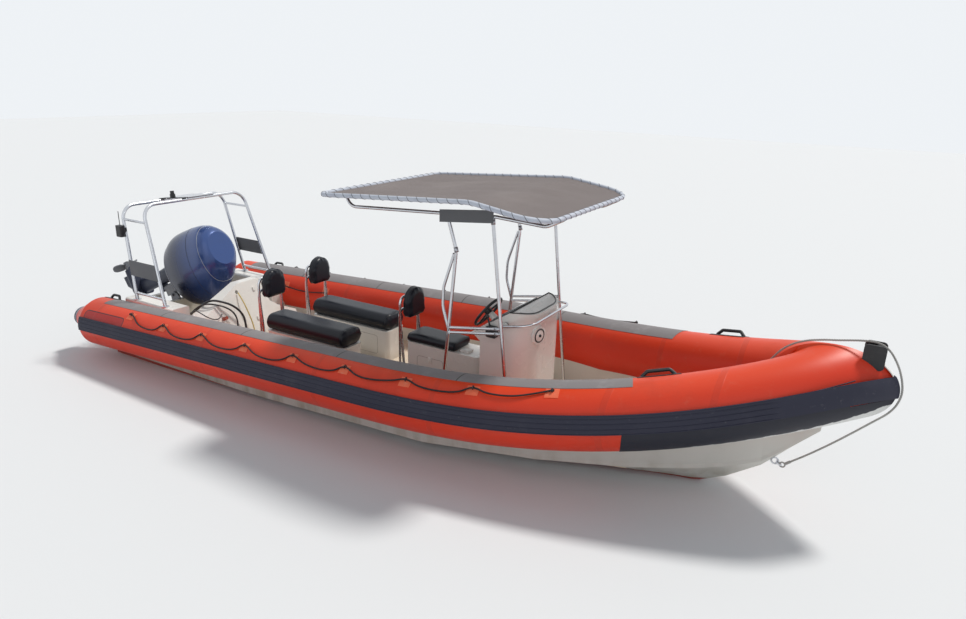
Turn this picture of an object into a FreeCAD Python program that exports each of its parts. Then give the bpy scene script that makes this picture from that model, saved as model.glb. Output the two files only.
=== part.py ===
import FreeCAD, Part
import math
import os

os.makedirs("parts", exist_ok=True)
V = FreeCAD.Vector

# Frame: X forward, Y to port, Z up, origin on the waterline under the transom (mm).

# Gap between pieces that touch, and between a pin and its hole
FIT = 0.3
PIN_GAP = 0.05

# Buoyancy tubes
TUBE_Y = 1046.0
TUBE_R = 272.0
TUBE_Z = 400.0
TRIM = 0.04
BEND_X = 3810.0
NOSE_X = 7527.0
MITRE_FROM = 6850.0
MITRE_SLOPE = 0.869
BEND_POWER = 2.15
BEND_ROOT = 0.885
SHEER_X = 4255.0
SHEER = 480.0
SHEER_POWER = 2.5
CONE_START = -60.0
CONE_LENGTH = 340.0
CONE_END_R = 105.0
CAP_LENGTH = 45.0
CAP_LIP = 6.0
STATIONS = [CONE_START, 240.0, 850.0, 1750.0, 2650.0, 3450.0, 4150.0, 4800.0, 5400.0, 5950.0, 6450.0, 6900.0]

# Fabric layers glued on the tubes: first and last x, lower and upper edge angle, thickness
STRAKE = (-55.0, None, -5.6, 25.2, 14.0)
TOP_PAD = (165.0, 6050.0, 72.0, 122.0, 3.0)
BOW_PATCH = (6000.0, None, -80.0, -7.2, 3.0)

# Carrying handles: x, angle on the tube, side and length
HANDLES = [(50.0, 117.0, "starboard", 200.0), (6230.0, 118.0, "starboard", 300.0),
           (420.0, 56.0, "port", 200.0), (6450.0, 74.0, "port", 300.0)]
HANDLE_PAD = (14.0, 4.0)
GRIP_R = 14.0
GRIP_LIFT = 42.0

# Lifeline tabs on each tube: x and angle; the loops that the line runs through
TABS = [(760.0, 58.0), (1320.0, 50.0), (1900.0, 50.0), (2510.0, 49.9), (3120.0, 52.0), (3720.0, 54.1),
        (4332.0, 55.9), (4905.0, 59.9), (5500.0, 65.9)]
TAB_HALF = 50.0
TAB_BELOW = 13.0
TAB_ABOVE = 5.0
TAB_T = 3.0
LOOP_R = 15.0
LOOP_WIRE = 4.0
LOOP_LIFT = 12.5

# Lifeline along the starboard tube, from the aft tab forward; the port one mirrors it
LINE_R = 7.0
LIFELINE = [(734, -1197, 671), (786, -1197, 673), (940, -1271, 614), (1120, -1285, 601), (1240, -1277, 617),
            (1294, -1229, 670), (1346, -1229, 672), (1480, -1280, 623), (1670, -1291, 614),
            (1820, -1277, 641), (1874, -1229, 693), (1926, -1229, 695), (2080, -1280, 647),
            (2280, -1288, 642), (2420, -1274, 669), (2484, -1229, 717), (2536, -1229, 719),
            (2680, -1277, 675), (2880, -1286, 671), (3030, -1268, 701), (3094, -1221, 748),
            (3146, -1221, 750), (3270, -1258, 722), (3450, -1271, 714), (3620, -1261, 732),
            (3694, -1213, 778), (3746, -1213, 780), (3870, -1255, 750), (4030, -1255, 752),
            (4220, -1227, 781), (4317, -1189, 808), (4370, -1186, 810), (4478, -1212, 788),
            (4664, -1200, 790), (4828, -1167, 810), (4902, -1106, 849), (4955, -1097, 853),
            (5052, -1114, 839), (5241, -1083, 850), (5400, -1019, 886), (5530, -944, 925)]
GRAB_LINE = [(960, 787, 549), (1120, 777, 538), (1290, 774, 537), (1460, 777, 549), (1630, 787, 575)]
GRAB_TABS = [(960.0, 157.0), (1630.0, 157.0)]

# Hull sections from the transom forward: x, keel z, chine half breadth and chine z
HULL = [(0.0, -400.0, 925.0, -30.0), (2500.0, -330.0, 925.0, 40.0), (4300.0, -255.0, 880.0, 95.0),
        (5300.0, -180.0, 680.0, 145.0), (6000.0, -95.0, 455.0, 188.0), (6440.0, -28.0, 250.0, 216.0),
        (6700.0, 102.0, 140.0, 262.0), (6950.0, 285.0, 42.0, 343.0), (7150.0, 510.0, 28.0, 530.0),
        (7320.0, 690.0, 20.0, 705.0)]
NOSE_CUT = 3.0
RAIL_W = 28.0
RAIL_H = 42.0
SEAT_OUT = 60.0
SEAT_IN = 215.0
SEAT_DROP = 120.0
DECK_Z = 200.0
DECK_T = 30.0
DECK_FRONT = 6000.0
DECK_EDGE = 4.0
TRANSOM_T = 60.0
TRANSOM_TOP = 560.0
TRANSOM_HALF = 640.0
WELL_Z = 430.0
WELL_HALF = 290.0
WELL_FLARE = 40.0

# Stern mouldings: plinths of the frame and the sloping locker ahead of the well
PLINTH_X = (75.0, 900.0)
PLINTH_IN = 600.0
PLINTH_SINK = 48.0
PLINTH_TOP = 641.0
LOCKER_AFT = 1060.0
LOCKER_TOP_X = 1160.0
LOCKER_FOOT_X = 1431.0
LOCKER_TOP = 830.0
LOCKER_OUTLINE = [(-720.0, DECK_Z), (-720.0, 575.0), (-500.0, 665.0), (-140.0, LOCKER_TOP), (170.0, LOCKER_TOP),
                  (225.0, 560.0), (400.0, 430.0), (560.0, 380.0), (560.0, DECK_Z)]
HOLE_YZ = (-180.0, 745.0)
HOLE_R = 22.0
LATCHES = [(60.0, 730.0), (-15.0, 420.0)]
LATCH_SIZE = (12.0, 34.0, 46.0)

# Stern frame: hoops of bent tube with foot x, top x and top z; rungs between them
HOOP_R = 19.0
HOOP_BEND = 170.0
FOOT_INSET = 42.0
HEAD_Y = 690.0
FORE_HOOP = (735.0, 400.0, 1715.0)
AFT_HOOP = (240.0, 20.0, 1670.0)
RUNG_Z = (715.0, 1530.0)
RUNG_R = 14.0
FOOT_R = 42.0
FOOT_T = 7.0
PANEL_Z = (915.0, 1085.0)
PANEL_T = 4.0
PANEL_SET = 1.95
PLATE_Y = (-115.0, 260.0)
PLATE_T = 6.0
LIGHT_Y = -154.0
LIGHT_STRAP = 64.0
LIGHT_R = 30.0
AERIAL_Z = (1345.0, 1470.0)
AERIAL_W = 62.0
AERIAL_L = 95.0
WHIP_R = 4.0
WHIP_L = 165.0

# Seats: centre y, cushion x from and to, top of the pod, thickness and edge radius of the cushion
SEATS = {"starboard": (-330.0, 1970.0, 3040.0, 540.0, 178.0, 80.0), "port": (330.0, 2000.0, 3080.0, 540.0, 178.0, 80.0),
         "helm": (0.0, 3565.0, 4150.0, 655.0, 85.0, 38.0)}
POD_W = 300.0
POD_R = 55.0
CUSHION_W = 340.0
HELM_NOSE = 250.0
PAD_Z = (880.0, 1180.0)
PAD_W = 280.0
PAD_T = 100.0
PAD_TOP_R = 125.0
PAD_LOW_R = 30.0
PAD_SET = 50.0
SEAT_HOOP_R = 13.0
SEAT_HOOP_W = 150.0
SEAT_HOOP_BEND = 70.0
SEAT_HOOP_TOP = 1085.0
SEAT_HOOP_LEAN = 60.0
SEAT_STAY_TOP = 960.0
SEAT_STAY_FOOT = 65.0

# Helm console, wheel and rails
CONSOLE_W = 780.0
CONSOLE_FRONT = 5030.0
CONSOLE_NOSE_R = 260.0
CONSOLE_SIDE = [(4470.0, 1010.0), (4560.0, 940.0), (4560.0, DECK_Z), (CONSOLE_FRONT, DECK_Z),
                (CONSOLE_FRONT, 1222.0), (4905.0, 1245.0), (4840.0, 1245.0)]
WHEEL_X = 4420.0
WHEEL_Z = 1075.0
WHEEL_TILT = 35.0
WHEEL_R = 165.0
WHEEL_RIM = 13.0
WHEEL_HUB_R = 36.0
WHEEL_HUB_L = 42.0
SPOKE_R = 9.0
SPOKES = 3
COLUMN_R = 32.0
PIN_R = 10.0
PORT_ANGLE = -13.0
PORT_Z = 1030.0
PORT_R = 82.0
PORT_T = 24.0
RAIL_R = 11.0
RAIL_GAP = 32.0
RAIL_AFT = (4780.0, 1130.0)
RAIL_FORE_Z = 1180.0
RAIL_STAY = 115.0
LEVER_X = 4690.0
LEVER_Z = 1060.0
FITTING_X = 4816.0
FITTING_Z = 1139.0
FITTING_R = 26.0

# Canopy: half width, side profile x and z of the rim, under-rails, legs and cloth
CANOPY_HALF = 905.0
CANOPY_REAR = (3210.0, 2155.0)
CANOPY_KNEE = (4740.0, 2252.0)
CANOPY_FRONT = (5370.0, 2155.0)
RIM_R = 18.0
RIM_BENDS = (110.0, 600.0, 260.0)
UNDER_RAIL_BEND = 120.0
CLOTH_T = 7.0
LEG_Y = 570.0
LEG_R = 15.0
UNDER_RAIL = [(3275.0, 2014.0), (4790.0, 2096.0), (5230.0, 2072.0)]
FORE_LEG = [(4755.0, 2092.0), (4983.0, DECK_Z)]
REAR_LEG = [(4320.0, 2066.0), (4415.0, 1770.0), (4262.0, DECK_Z)]
STAY_LEG = [(4393.0, 1740.0), (4290.0, 1430.0), (4283.0, 1250.0), (4357.0, 1020.0)]
STAY_R = 13.0
ARM_X = (4345.0, 4866.0)
ARM_Z = (1030.0, 1074.0)
ARM_RISE = 90.0
ARM_R = 12.0
LEG_FOOT_R = 40.0
SIGN = [(4255.0, 1995.0), (4770.0, 2045.0), (4770.0, 2150.0), (4255.0, 2100.0)]
SIGN_T = 3.5

# Bow fittings: white strip on the nose, roller, towing eye, shackle, post and painter
STRIP_ANGLES = (27.0, 43.0)
STRIP_W = 44.0
STRIP_T = 6.0
ROLLER_X = 235.0
ROLLER_R = 18.0
CHEEK_Y = 46.0
CHEEK_T = 12.0
CHEEK_L = 145.0
CHEEK_H = 105.0
EYE = (7042.0, 352.0)
EYE_R = 26.0
EYE_WIRE = 7.0
SHACKLE_END = (7092.0, 327.0)
SHACKLE_HALF = 16.0
SHACKLE_R = 5.0
SPLICE_R = 20.0
SPLICE_WIRE = 6.0
SPLICE_NECK = (11.0, 50.0)
POST_X = 6700.0
POST_R = 30.0
POST_H = 250.0
POST_PIN_R = 10.0
POST_PIN_L = 130.0
PAINTER_R = 8.0
PAINTER = [(6736, 0, 985), (6775, 2, 1015), (6840, 3, 1088), (6900, 6, 1180), (6950, 8, 1259),
           (7020, 6, 1324), (7112, 3, 1372), (7217, 0, 1401), (7335, -2, 1421), (7450, -1, 1446),
           (7560, 1, 1457), (7640, 1, 1425), (7707, 1, 1337), (7757, 2, 1225), (7783, 4, 1098),
           (7742, 3, 966), (7632, 0, 850), (7523, -3, 733), (7414, -3, 619), (7308, 0, 514),
           (7223, 1, 435), (7154, 0, 376)]

# Outboard, drawn upright and turned about the tilt tube: pivot and swivel
PIVOT_X = -70.0
PIVOT_Z = 470.0
TILT = 65.0
TILT_R = 16.0
SWIVEL_X = -190.0
SWIVEL_R = 25.0
SWIVEL_Z = (235.0, 500.0)
SWIVEL_WALL = 18.0
CLAMP_IN = 88.0
CLAMP_T = 18.0
# Ovals along the upright motor: x from and to, breadth, height
PAN = [(-560.0, -60.0, 330.0, 590.0), (-645.0, 74.0, 464.0, 690.0)]
COWL = [(-645.0, 74.0, 464.0, 690.5), (-717.0, 195.0, 500.0, 880.0), (-715.0, 200.0, 500.0, 1050.0),
        (-683.0, 95.0, 483.0, 1340.0), (-620.0, -50.0, 445.0, 1480.0), (-545.0, -150.0, 330.0, 1540.0)]
MIDSECTION = [(-470.0, -245.0, 170.0, 600.0), (-430.0, -250.0, 130.0, 250.0), (-440.0, -252.0, 90.0, -190.0)]
SKEG = [(-560.0, -420.0), (-330.0, -420.0), (-430.0, -545.0), (-560.0, -560.0)]
GEAR_TOP = [(-445.0, -250.0, 84.0, -190.5), (-520.0, -260.0, 60.0, -375.0)]
PROP_Z = -375.0
GEAR_END = -620.0
GEAR_R = 60.0
GEAR_L = 300.0
GEAR_NOSE = 130.0
SHAFT_R = 12.0
PROP_HUB = (44.0, 100.0)
BLADES = 3
BLADE_R = 185.0
BLADE_W = 140.0
BLADE_T = 12.0
BLADE_PITCH = 28.0

# Rigging hoses from the transom to the locker, and the drain hose out of its hole
GLAND = (-400.0, 468.0)
GLAND_T = 20.0
HOSE_R = (12.0, 9.0, 6.0, 7.0)
MAIN_HOSE = [(80.3, -370, 470), (160, -370, 470), (310, -408, 438), (500, -455, 425), (720, -503, 460),
             (930, -540, 570), (1080, -548, 680), (1185, -515, 732), (1265, -450, 712), (1310, -365, 665),
             (1345, -290, 590), (1375, -250, 500), (1405, -262, 400), (1436, -292, 300), (1455, -305, 204)]
SECOND_HOSE = [(80.3, -410, 470), (150, -410, 470), (290, -440, 425), (470, -490, 398), (680, -540, 430),
               (880, -568, 530), (1035, -600, 645), (1160, -575, 702), (1250, -515, 690), (1305, -440, 655),
               (1345, -372, 590), (1375, -348, 505), (1400, -372, 410), (1428, -400, 310), (1448, -408, 203)]
THIN_HOSE = [(80.3, -445, 470), (140, -445, 470), (250, -480, 425), (400, -530, 392), (560, -565, 385),
             (720, -578, 415), (860, -578, 480), (975, -622, 572), (1095, -682, 642), (1210, -712, 650),
             (1300, -690, 605), (1345, -620, 560), (1335, -545, 560), (1310, -497, 590)]
DRAIN_HOSE = [(1220, -182, 742), (1272, -184, 690), (1325, -178, 600), (1365, -168, 505), (1400, -160, 410),
              (1435, -165, 310), (1452, -176, 203)]
CONNECTOR = (-468.0, 520.0)
CONNECTOR_R = 20.0
CONNECTOR_L = 60.0


def bend_y(x):
    s = max(0.0, (x - BEND_X) / (NOSE_X - BEND_X))
    return TUBE_Y * (1.0 - s ** BEND_POWER) ** (1.0 / BEND_ROOT)


MITRE_Y = bend_y(MITRE_FROM)
MITRE_IN = (bend_y(MITRE_FROM - 5.0) - bend_y(MITRE_FROM + 5.0)) / 10.0
MITRE_RUN = MITRE_Y / (0.5 * (MITRE_IN + MITRE_SLOPE))
MITRE_X = MITRE_FROM + MITRE_RUN


def tube_y(x):
    if x <= MITRE_FROM:
        return bend_y(x)
    d = x - MITRE_FROM
    return MITRE_Y - MITRE_IN * d - (MITRE_SLOPE - MITRE_IN) * d * d / (2.0 * MITRE_RUN)


def tube_z(x):
    t = max(0.0, (x - SHEER_X) / (NOSE_X - SHEER_X))
    return TUBE_Z + TRIM * x + SHEER * t ** SHEER_POWER


# Centre of the starboard tube at x, its outward and its upward half axis; x of None is the mitre
def tube_section(x, r):
    at_nose = x is None
    x = MITRE_X if at_nose else x
    c = V(x, -tube_y(x), tube_z(x))
    t = V(2.0, tube_y(x - 1.0) - tube_y(x + 1.0), tube_z(x + 1.0) - tube_z(x - 1.0))
    flat = V(t.x, t.y, 0).normalize()
    rise = math.hypot(t.z, math.hypot(t.x, t.y)) / math.hypot(t.x, t.y)
    out = flat.cross(V(0, 0, 1))
    if at_nose:
        c = V(x, -FIT / 2.0, c.z)
        out = V(1.0 / flat.y, 0, 0)
    return c, out * r, V(0, 0, 1) * (r * rise)


def on_tube(x, deg, r):
    c, a, b = tube_section(x, r)
    k = math.radians(deg)
    return c + a * math.cos(k) + b * math.sin(k)


def along_tube(x):
    return (on_tube(x + 1.0, 0.0, 0.0) - on_tube(x - 1.0, 0.0, 0.0)).normalize()


def arc(c, a, b, deg1, deg2):
    if a.Length >= b.Length:
        e = Part.Ellipse(c + a, c + b, c)
        turn = 0.0
    else:
        e = Part.Ellipse(c + b, c - a, c)
        turn = 90.0
    return Part.ArcOfEllipse(e, math.radians(deg1 - turn), math.radians(deg2 - turn)).toShape()


def ring(x, r):
    c, a, b = tube_section(x, r)
    return Part.Wire([arc(c, a, b, -180.0, 0.0), arc(c, a, b, 0.0, 180.0)])


def layer_wire(x, r1, r2, deg1, deg2):
    c, a1, b1 = tube_section(x, r1)
    c, a2, b2 = tube_section(x, r2)
    inner = arc(c, a1, b1, deg1, deg2)
    outer = arc(c, a2, b2, deg1, deg2)

    def at(a, b, deg):
        k = math.radians(deg)
        return c + a * math.cos(k) + b * math.sin(k)

    side1 = Part.LineSegment(at(a1, b1, deg1), at(a2, b2, deg1)).toShape()
    side2 = Part.LineSegment(at(a1, b1, deg2), at(a2, b2, deg2)).toShape()
    return Part.Wire(Part.__sortEdges__([inner, side2, outer, side1]))


def tube_solid(r):
    return Part.makeLoft([ring(x, r) for x in STATIONS + [None]], True, False)


tube_cutter = tube_solid(TUBE_R + FIT)


def layer(spec):
    x1, x2, deg1, deg2, t = spec
    last = MITRE_X if x2 is None else x2
    xs = [x1] + [x for x in STATIONS if x1 + 60.0 < x < last - 60.0] + [x2]
    wires = [layer_wire(x, TUBE_R - 4.0, TUBE_R + FIT + t, deg1, deg2) for x in xs]
    return Part.makeLoft(wires, True, False).cut(tube_cutter)


def port(shape):
    return shape.mirror(V(0, 0, 0), V(0, 1, 0))


def both(shape):
    return Part.makeCompound([shape, port(shape)])


def box(x1, x2, y1, y2, z1, z2):
    return Part.makeBox(x2 - x1, y2 - y1, z2 - z1, V(x1, y1, z1))


def poly(points):
    return Part.Face(Part.makePolygon(points + points[:1]))


def poly_xz(points, y1, y2):
    return poly([V(x, y1, z) for x, z in points]).extrude(V(0, y2 - y1, 0))


def poly_yz(points, x1, x2):
    return poly([V(x1, y, z) for y, z in points]).extrude(V(x2 - x1, 0, 0))


def rounded(x1, x2, y1, y2, z1, z2, r, axis):
    s = box(x1, x2, y1, y2, z1, z2)
    edges = []
    for e in s.Edges:
        d = e.Vertexes[1].Point - e.Vertexes[0].Point
        if abs(d.dot(axis)) > 0.99 * d.Length:
            edges.append(e)
    return s.makeFillet(r, edges)


X = V(1, 0, 0)
Y = V(0, 1, 0)
Z = V(0, 0, 1)


# Straight runs joined by tangent arcs, as large as the runs allow or of the radius in bends
def path(points, bends, radii):
    edges = []
    start = points[0]
    if not isinstance(bends, tuple):
        bends = (bends,) * (len(points) - 2)
    for a, p, b, bend in zip(points, points[1:], points[2:], bends):
        u = (a - p).normalize()
        w = (b - p).normalize()
        half = (math.pi - u.getAngle(w)) / 2.0
        cut = 0.45 * min((a - p).Length, (b - p).Length)
        if bend is not None:
            cut = min(cut, bend * math.tan(half))
        radius = cut / math.tan(half)
        radii.append(radius)
        centre = p + (u + w).normalize() * (radius / math.cos(half))
        mid = centre + (p - centre).normalize() * radius
        edges.append(Part.LineSegment(start, p + u * cut).toShape())
        edges.append(Part.Arc(p + u * cut, mid, p + w * cut).toShape())
        start = p + w * cut
    edges.append(Part.LineSegment(start, points[-1]).toShape())
    return Part.Wire(edges)


def rod(points, r, bend=None, radii=None):
    pts = [V(*p) for p in points]
    spine = path(pts, bend, [] if radii is None else radii)
    circle = Part.Wire([Part.Circle(pts[0], pts[1] - pts[0], r).toShape()])
    return spine.makePipeShell([circle], True, False)


def cord(name, points, r):
    radii = []
    tube = rod(points, r, None, radii)
    length = path([V(*p) for p in points], None, []).Length
    share = tube.Volume / (math.pi * r * r * length)
    print(name, "length", round(length), "smallest radius", round(min(radii)), "volume share", round(share, 4))
    return tube


def fused(shapes):
    out = shapes[0]
    for s in shapes[1:]:
        out = out.fuse(s)
    return out.removeSplitter()


def biggest(shape):
    return max(shape.Solids, key=lambda s: s.Volume)


def write(name, shape):
    shape.exportStep("parts/" + name + ".step")


# Tubes with their cones and end caps
tube = tube_solid(TUBE_R)
write("starboard_tube", tube)
write("port_tube", port(tube))
cone_tip = CONE_START - CONE_LENGTH
cone = Part.makeLoft([ring(CONE_START - FIT, TUBE_R), ring(cone_tip, CONE_END_R)], True, True)
write("stern_cones", both(cone))
cap_at = V(cone_tip - FIT, -TUBE_Y, tube_z(cone_tip))
cap = Part.makeCylinder(CONE_END_R + CAP_LIP, CAP_LENGTH, cap_at, -X)
cap = cap.makeFillet(CAP_LENGTH / 2.0, [e for e in cap.Edges if e.CenterOfMass.x < cap_at.x - CAP_LENGTH + 1.0])
write("cone_caps", both(cap))

# Fabric layers, tabs and handles on the tubes
strake = layer(STRAKE)
write("rubbing_strakes", both(strake))
write("tube_top_pads", both(layer(TOP_PAD)))
write("bow_patches", both(layer(BOW_PATCH)))


def line_tab(x, deg):
    pad = layer((x - TAB_HALF, x + TAB_HALF, deg - TAB_BELOW, deg + TAB_ABOVE, TAB_T))
    loop = Part.makeTorus(LOOP_R, LOOP_WIRE, on_tube(x, deg, TUBE_R + LOOP_LIFT), along_tube(x))
    return pad.fuse(loop).cut(tube_cutter)


tabs = [line_tab(x, deg) for x, deg in TABS]
tabs += [port(t) for t in tabs] + [port(line_tab(x, deg)) for x, deg in GRAB_TABS]
write("line_tabs", Part.makeCompound(tabs))


def handle(x, deg, length):
    spread, t = HANDLE_PAD
    half = length / 2.0
    pad = layer((x - half, x + half, deg - spread, deg + spread, t))
    low = TUBE_R + t / 2.0
    high = TUBE_R + GRIP_LIFT
    steps = [(-0.78 * half, low), (-0.52 * half, high), (0.52 * half, high), (0.78 * half, low)]
    grip = rod([tuple(on_tube(x + dx, deg, r)) for dx, r in steps], GRIP_R, 2.0 * GRIP_R)
    return pad.fuse(grip).cut(tube_cutter)


for name, at_stern in (("stern_handles", True), ("bow_handles", False)):
    pair = []
    for x, deg, side, length in HANDLES:
        if (x < BEND_X) == at_stern:
            one = handle(x, deg, length)
            pair.append(port(one) if side == "port" else one)
    write(name, Part.makeCompound(pair))
lifeline = cord("lifeline", LIFELINE, LINE_R)
write("starboard_lifeline", lifeline)
write("port_lifeline", port(lifeline))
write("inner_grab_line", cord("inner_grab_line", GRAB_LINE, LINE_R - 1.0))


# Hull, as a starboard half cut to the tube and mirrored
def half_section(x, keel_z, chine_y, chine_z):
    top = tube_z(x) - SEAT_DROP
    rail_y = chine_y + RAIL_W
    seat_out = max(tube_y(x) - SEAT_OUT, rail_y + 6.0)
    seat_in = max(tube_y(x) - SEAT_IN, 12.0)
    half = [(0.0, keel_z), (chine_y, chine_z), (rail_y, chine_z + 6.0), (rail_y + 2.0, chine_z + RAIL_H),
            (seat_out, top), (seat_in, top), (0.0, top)]
    pts = [V(x, -y, z) for y, z in half]
    return Part.makePolygon(pts + pts[:1])


half_hull = Part.makeLoft([half_section(*row) for row in HULL], True, True)
deck_xs = [TRANSOM_T] + [row[0] for row in HULL if TRANSOM_T < row[0] < DECK_FRONT] + [DECK_FRONT]
edge = [(x, tube_y(x) - SEAT_IN - DECK_EDGE) for x in deck_xs]
outline = [V(x, -y, DECK_Z - DECK_T) for x, y in edge] + [V(x, y, DECK_Z - DECK_T) for x, y in reversed(edge)]
deck_face = poly(outline)
half_hull = half_hull.cut(deck_face.extrude(Z * 2.0 * TUBE_Z * 2.0))
half_hull = half_hull.cut(box(-10.0, TRANSOM_T + 1.0, -TRANSOM_HALF, 1.0, DECK_Z - DECK_T, 2.0 * TRANSOM_TOP))
half_hull = half_hull.cut(tube_cutter)
hull = half_hull.fuse(port(half_hull)).removeSplitter()
nose_cut = Part.Face(ring(None, TUBE_R + FIT))
nose_cut.translate(-Y * NOSE_CUT)
hull = hull.cut(nose_cut.extrude(Y * (2.0 * NOSE_CUT + FIT)))
write("hull", hull)
write("deck", deck_face.extrude(Z * DECK_T))

# Transom with its well
sill = WELL_HALF + WELL_FLARE
transom = [(-TRANSOM_HALF, DECK_Z - DECK_T), (TRANSOM_HALF, DECK_Z - DECK_T), (TRANSOM_HALF, TRANSOM_TOP),
           (sill, TRANSOM_TOP), (WELL_HALF, WELL_Z), (-WELL_HALF, WELL_Z), (-sill, TRANSOM_TOP),
           (-TRANSOM_HALF, TRANSOM_TOP)]
write("transom", poly_yz(transom, 0.0, TRANSOM_T - FIT))

# Stern mouldings
plinth_out = TUBE_Y - TUBE_R + PLINTH_SINK
plinth = rounded(PLINTH_X[0], PLINTH_X[1], -plinth_out, -PLINTH_IN, DECK_Z, PLINTH_TOP, 25.0, X)
write("aframe_plinths", both(plinth.cut(tube_cutter)))
locker = poly_yz(LOCKER_OUTLINE, LOCKER_AFT, LOCKER_FOOT_X)
slope = [(LOCKER_AFT - 1.0, DECK_Z - 1.0), (LOCKER_FOOT_X, DECK_Z - 1.0), (LOCKER_FOOT_X, DECK_Z),
         (LOCKER_TOP_X, LOCKER_TOP), (LOCKER_TOP_X, LOCKER_TOP + 1.0), (LOCKER_AFT - 1.0, LOCKER_TOP + 1.0)]
locker = locker.common(poly_xz(slope, -TUBE_Y, TUBE_Y))
lean = (LOCKER_FOOT_X - LOCKER_TOP_X) / (LOCKER_TOP - DECK_Z)
face_n = V(1.0, 0, lean).normalize()


def on_face(y, z):
    return V(LOCKER_TOP_X + (LOCKER_TOP - z) * lean, y, z)


hole = on_face(*HOLE_YZ)
locker = locker.cut(Part.makeCylinder(HOLE_R, 120.0, hole - face_n * 60.0, face_n))
write("stern_locker", locker)
latch_t, latch_w, latch_h = LATCH_SIZE
latches = []
for y, z in LATCHES:
    one = box(FIT, latch_t, -latch_w / 2.0, latch_w / 2.0, -latch_h / 2.0, latch_h / 2.0)
    one.rotate(V(0, 0, 0), Y, -math.degrees(math.atan(lean)))
    one.translate(on_face(y, z))
    latches.append(one)
write("locker_latches", Part.makeCompound(latches))

# Stern frame
FOOT_Y = plinth_out - FOOT_INSET
FOOT_Z = PLINTH_TOP


def hoop(spec):
    foot_x, top_x, top_z = spec
    pts = [(foot_x, -FOOT_Y, FOOT_Z), (top_x, -HEAD_Y, top_z), (top_x, HEAD_Y, top_z), (foot_x, FOOT_Y, FOOT_Z)]
    return rod(pts, HOOP_R, HOOP_BEND)


def on_leg(spec, z):
    foot_x, top_x, top_z = spec
    k = (z - FOOT_Z) / (top_z - FOOT_Z)
    return (foot_x + (top_x - foot_x) * k, -(FOOT_Y + (HEAD_Y - FOOT_Y) * k), z)


frame = [hoop(FORE_HOOP), hoop(AFT_HOOP)]
for z in RUNG_Z:
    rung = rod([on_leg(AFT_HOOP, z), on_leg(FORE_HOOP, z)], RUNG_R)
    frame += [rung, port(rung)]
for spec in (FORE_HOOP, AFT_HOOP):
    foot = Part.makeCylinder(FOOT_R, FOOT_T, V(spec[0], -FOOT_Y, FOOT_Z))
    frame += [foot, port(foot)]
a_frame = fused(frame).cut(box(-500.0, 1500.0, -2000.0, 2000.0, 0.0, FOOT_Z))
write("a_frame", a_frame)

low_y = on_leg(AFT_HOOP, PANEL_Z[0])[1] - HOOP_R - PANEL_SET
high_y = on_leg(AFT_HOOP, PANEL_Z[1])[1] - HOOP_R - PANEL_SET
panel = [V(on_leg(AFT_HOOP, PANEL_Z[0])[0], low_y, PANEL_Z[0]), V(on_leg(FORE_HOOP, PANEL_Z[0])[0], low_y, PANEL_Z[0]),
         V(on_leg(FORE_HOOP, PANEL_Z[1])[0], high_y, PANEL_Z[1]), V(on_leg(AFT_HOOP, PANEL_Z[1])[0], high_y, PANEL_Z[1])]
write("aframe_panels", both(poly(panel).extrude(-Y * PANEL_T)))

# Top plate and light strap lie on the two hoops, along the line that touches both
rise = math.atan2(FORE_HOOP[2] - AFT_HOOP[2], FORE_HOOP[1] - AFT_HOOP[1])
plate_n = V(-math.sin(rise), 0, math.cos(rise))
plate_u = V(math.cos(rise), 0, math.sin(rise))
plate_0 = V(AFT_HOOP[1], 0, AFT_HOOP[2]) + plate_n * (HOOP_R + FIT)
span = math.hypot(FORE_HOOP[2] - AFT_HOOP[2], FORE_HOOP[1] - AFT_HOOP[1])


def strap(y1, y2):
    corners = [plate_0 + plate_u * s + Y * y for s, y in
               ((-30.0, y1), (span + 30.0, y1), (span + 30.0, y2), (-30.0, y2))]
    return poly(corners).extrude(plate_n * PLATE_T)


write("aframe_top_plate", strap(*PLATE_Y))
light_at = plate_0 + plate_u * (span / 2.0) + plate_n * (PLATE_T - 1.0) + Y * LIGHT_Y
light = [strap(LIGHT_Y - LIGHT_STRAP / 2.0, LIGHT_Y + LIGHT_STRAP / 2.0)]
light.append(Part.makeCylinder(LIGHT_R, 45.0, light_at, plate_n))
light.append(Part.makeCylinder(0.75 * LIGHT_R, 80.0, light_at, plate_n))
write("stern_light", fused(light))
aerial_leg = on_leg(AFT_HOOP, (AERIAL_Z[0] + AERIAL_Z[1]) / 2.0)
aerial_y = aerial_leg[1] - HOOP_R - 8.0
aerial_x = aerial_leg[0]
aerial = rounded(aerial_x - AERIAL_L / 2.0, aerial_x + AERIAL_L / 2.0, aerial_y - AERIAL_W, aerial_y,
                 AERIAL_Z[0], AERIAL_Z[1], 15.0, Z)
aerial = aerial.fuse(Part.makeCylinder(WHIP_R, WHIP_L, V(aerial_x, aerial_y - AERIAL_W / 2.0, AERIAL_Z[1] - 5.0)))
aft_leg = rod([on_leg(AFT_HOOP, FOOT_Z), on_leg(AFT_HOOP, AERIAL_Z[1] + 100.0)], HOOP_R + FIT)
clip = box(aerial_x - 22.0, aerial_x + 22.0, aerial_y - 5.0, aerial_leg[1] + 5.0, AERIAL_Z[0] + 30.0, AERIAL_Z[1] - 30.0)
write("aerial_unit", biggest(aerial.fuse(clip).cut(aft_leg)))

# Seats
def pod(y, x1, x2, top):
    return rounded(x1, x2, y - POD_W / 2.0, y + POD_W / 2.0, DECK_Z, top, POD_R, Z)


def cushion(y, x1, x2, low, t, r):
    return rounded(x1, x2, y - CUSHION_W / 2.0, y + CUSHION_W / 2.0, low + FIT, low + t, r, X)


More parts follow.
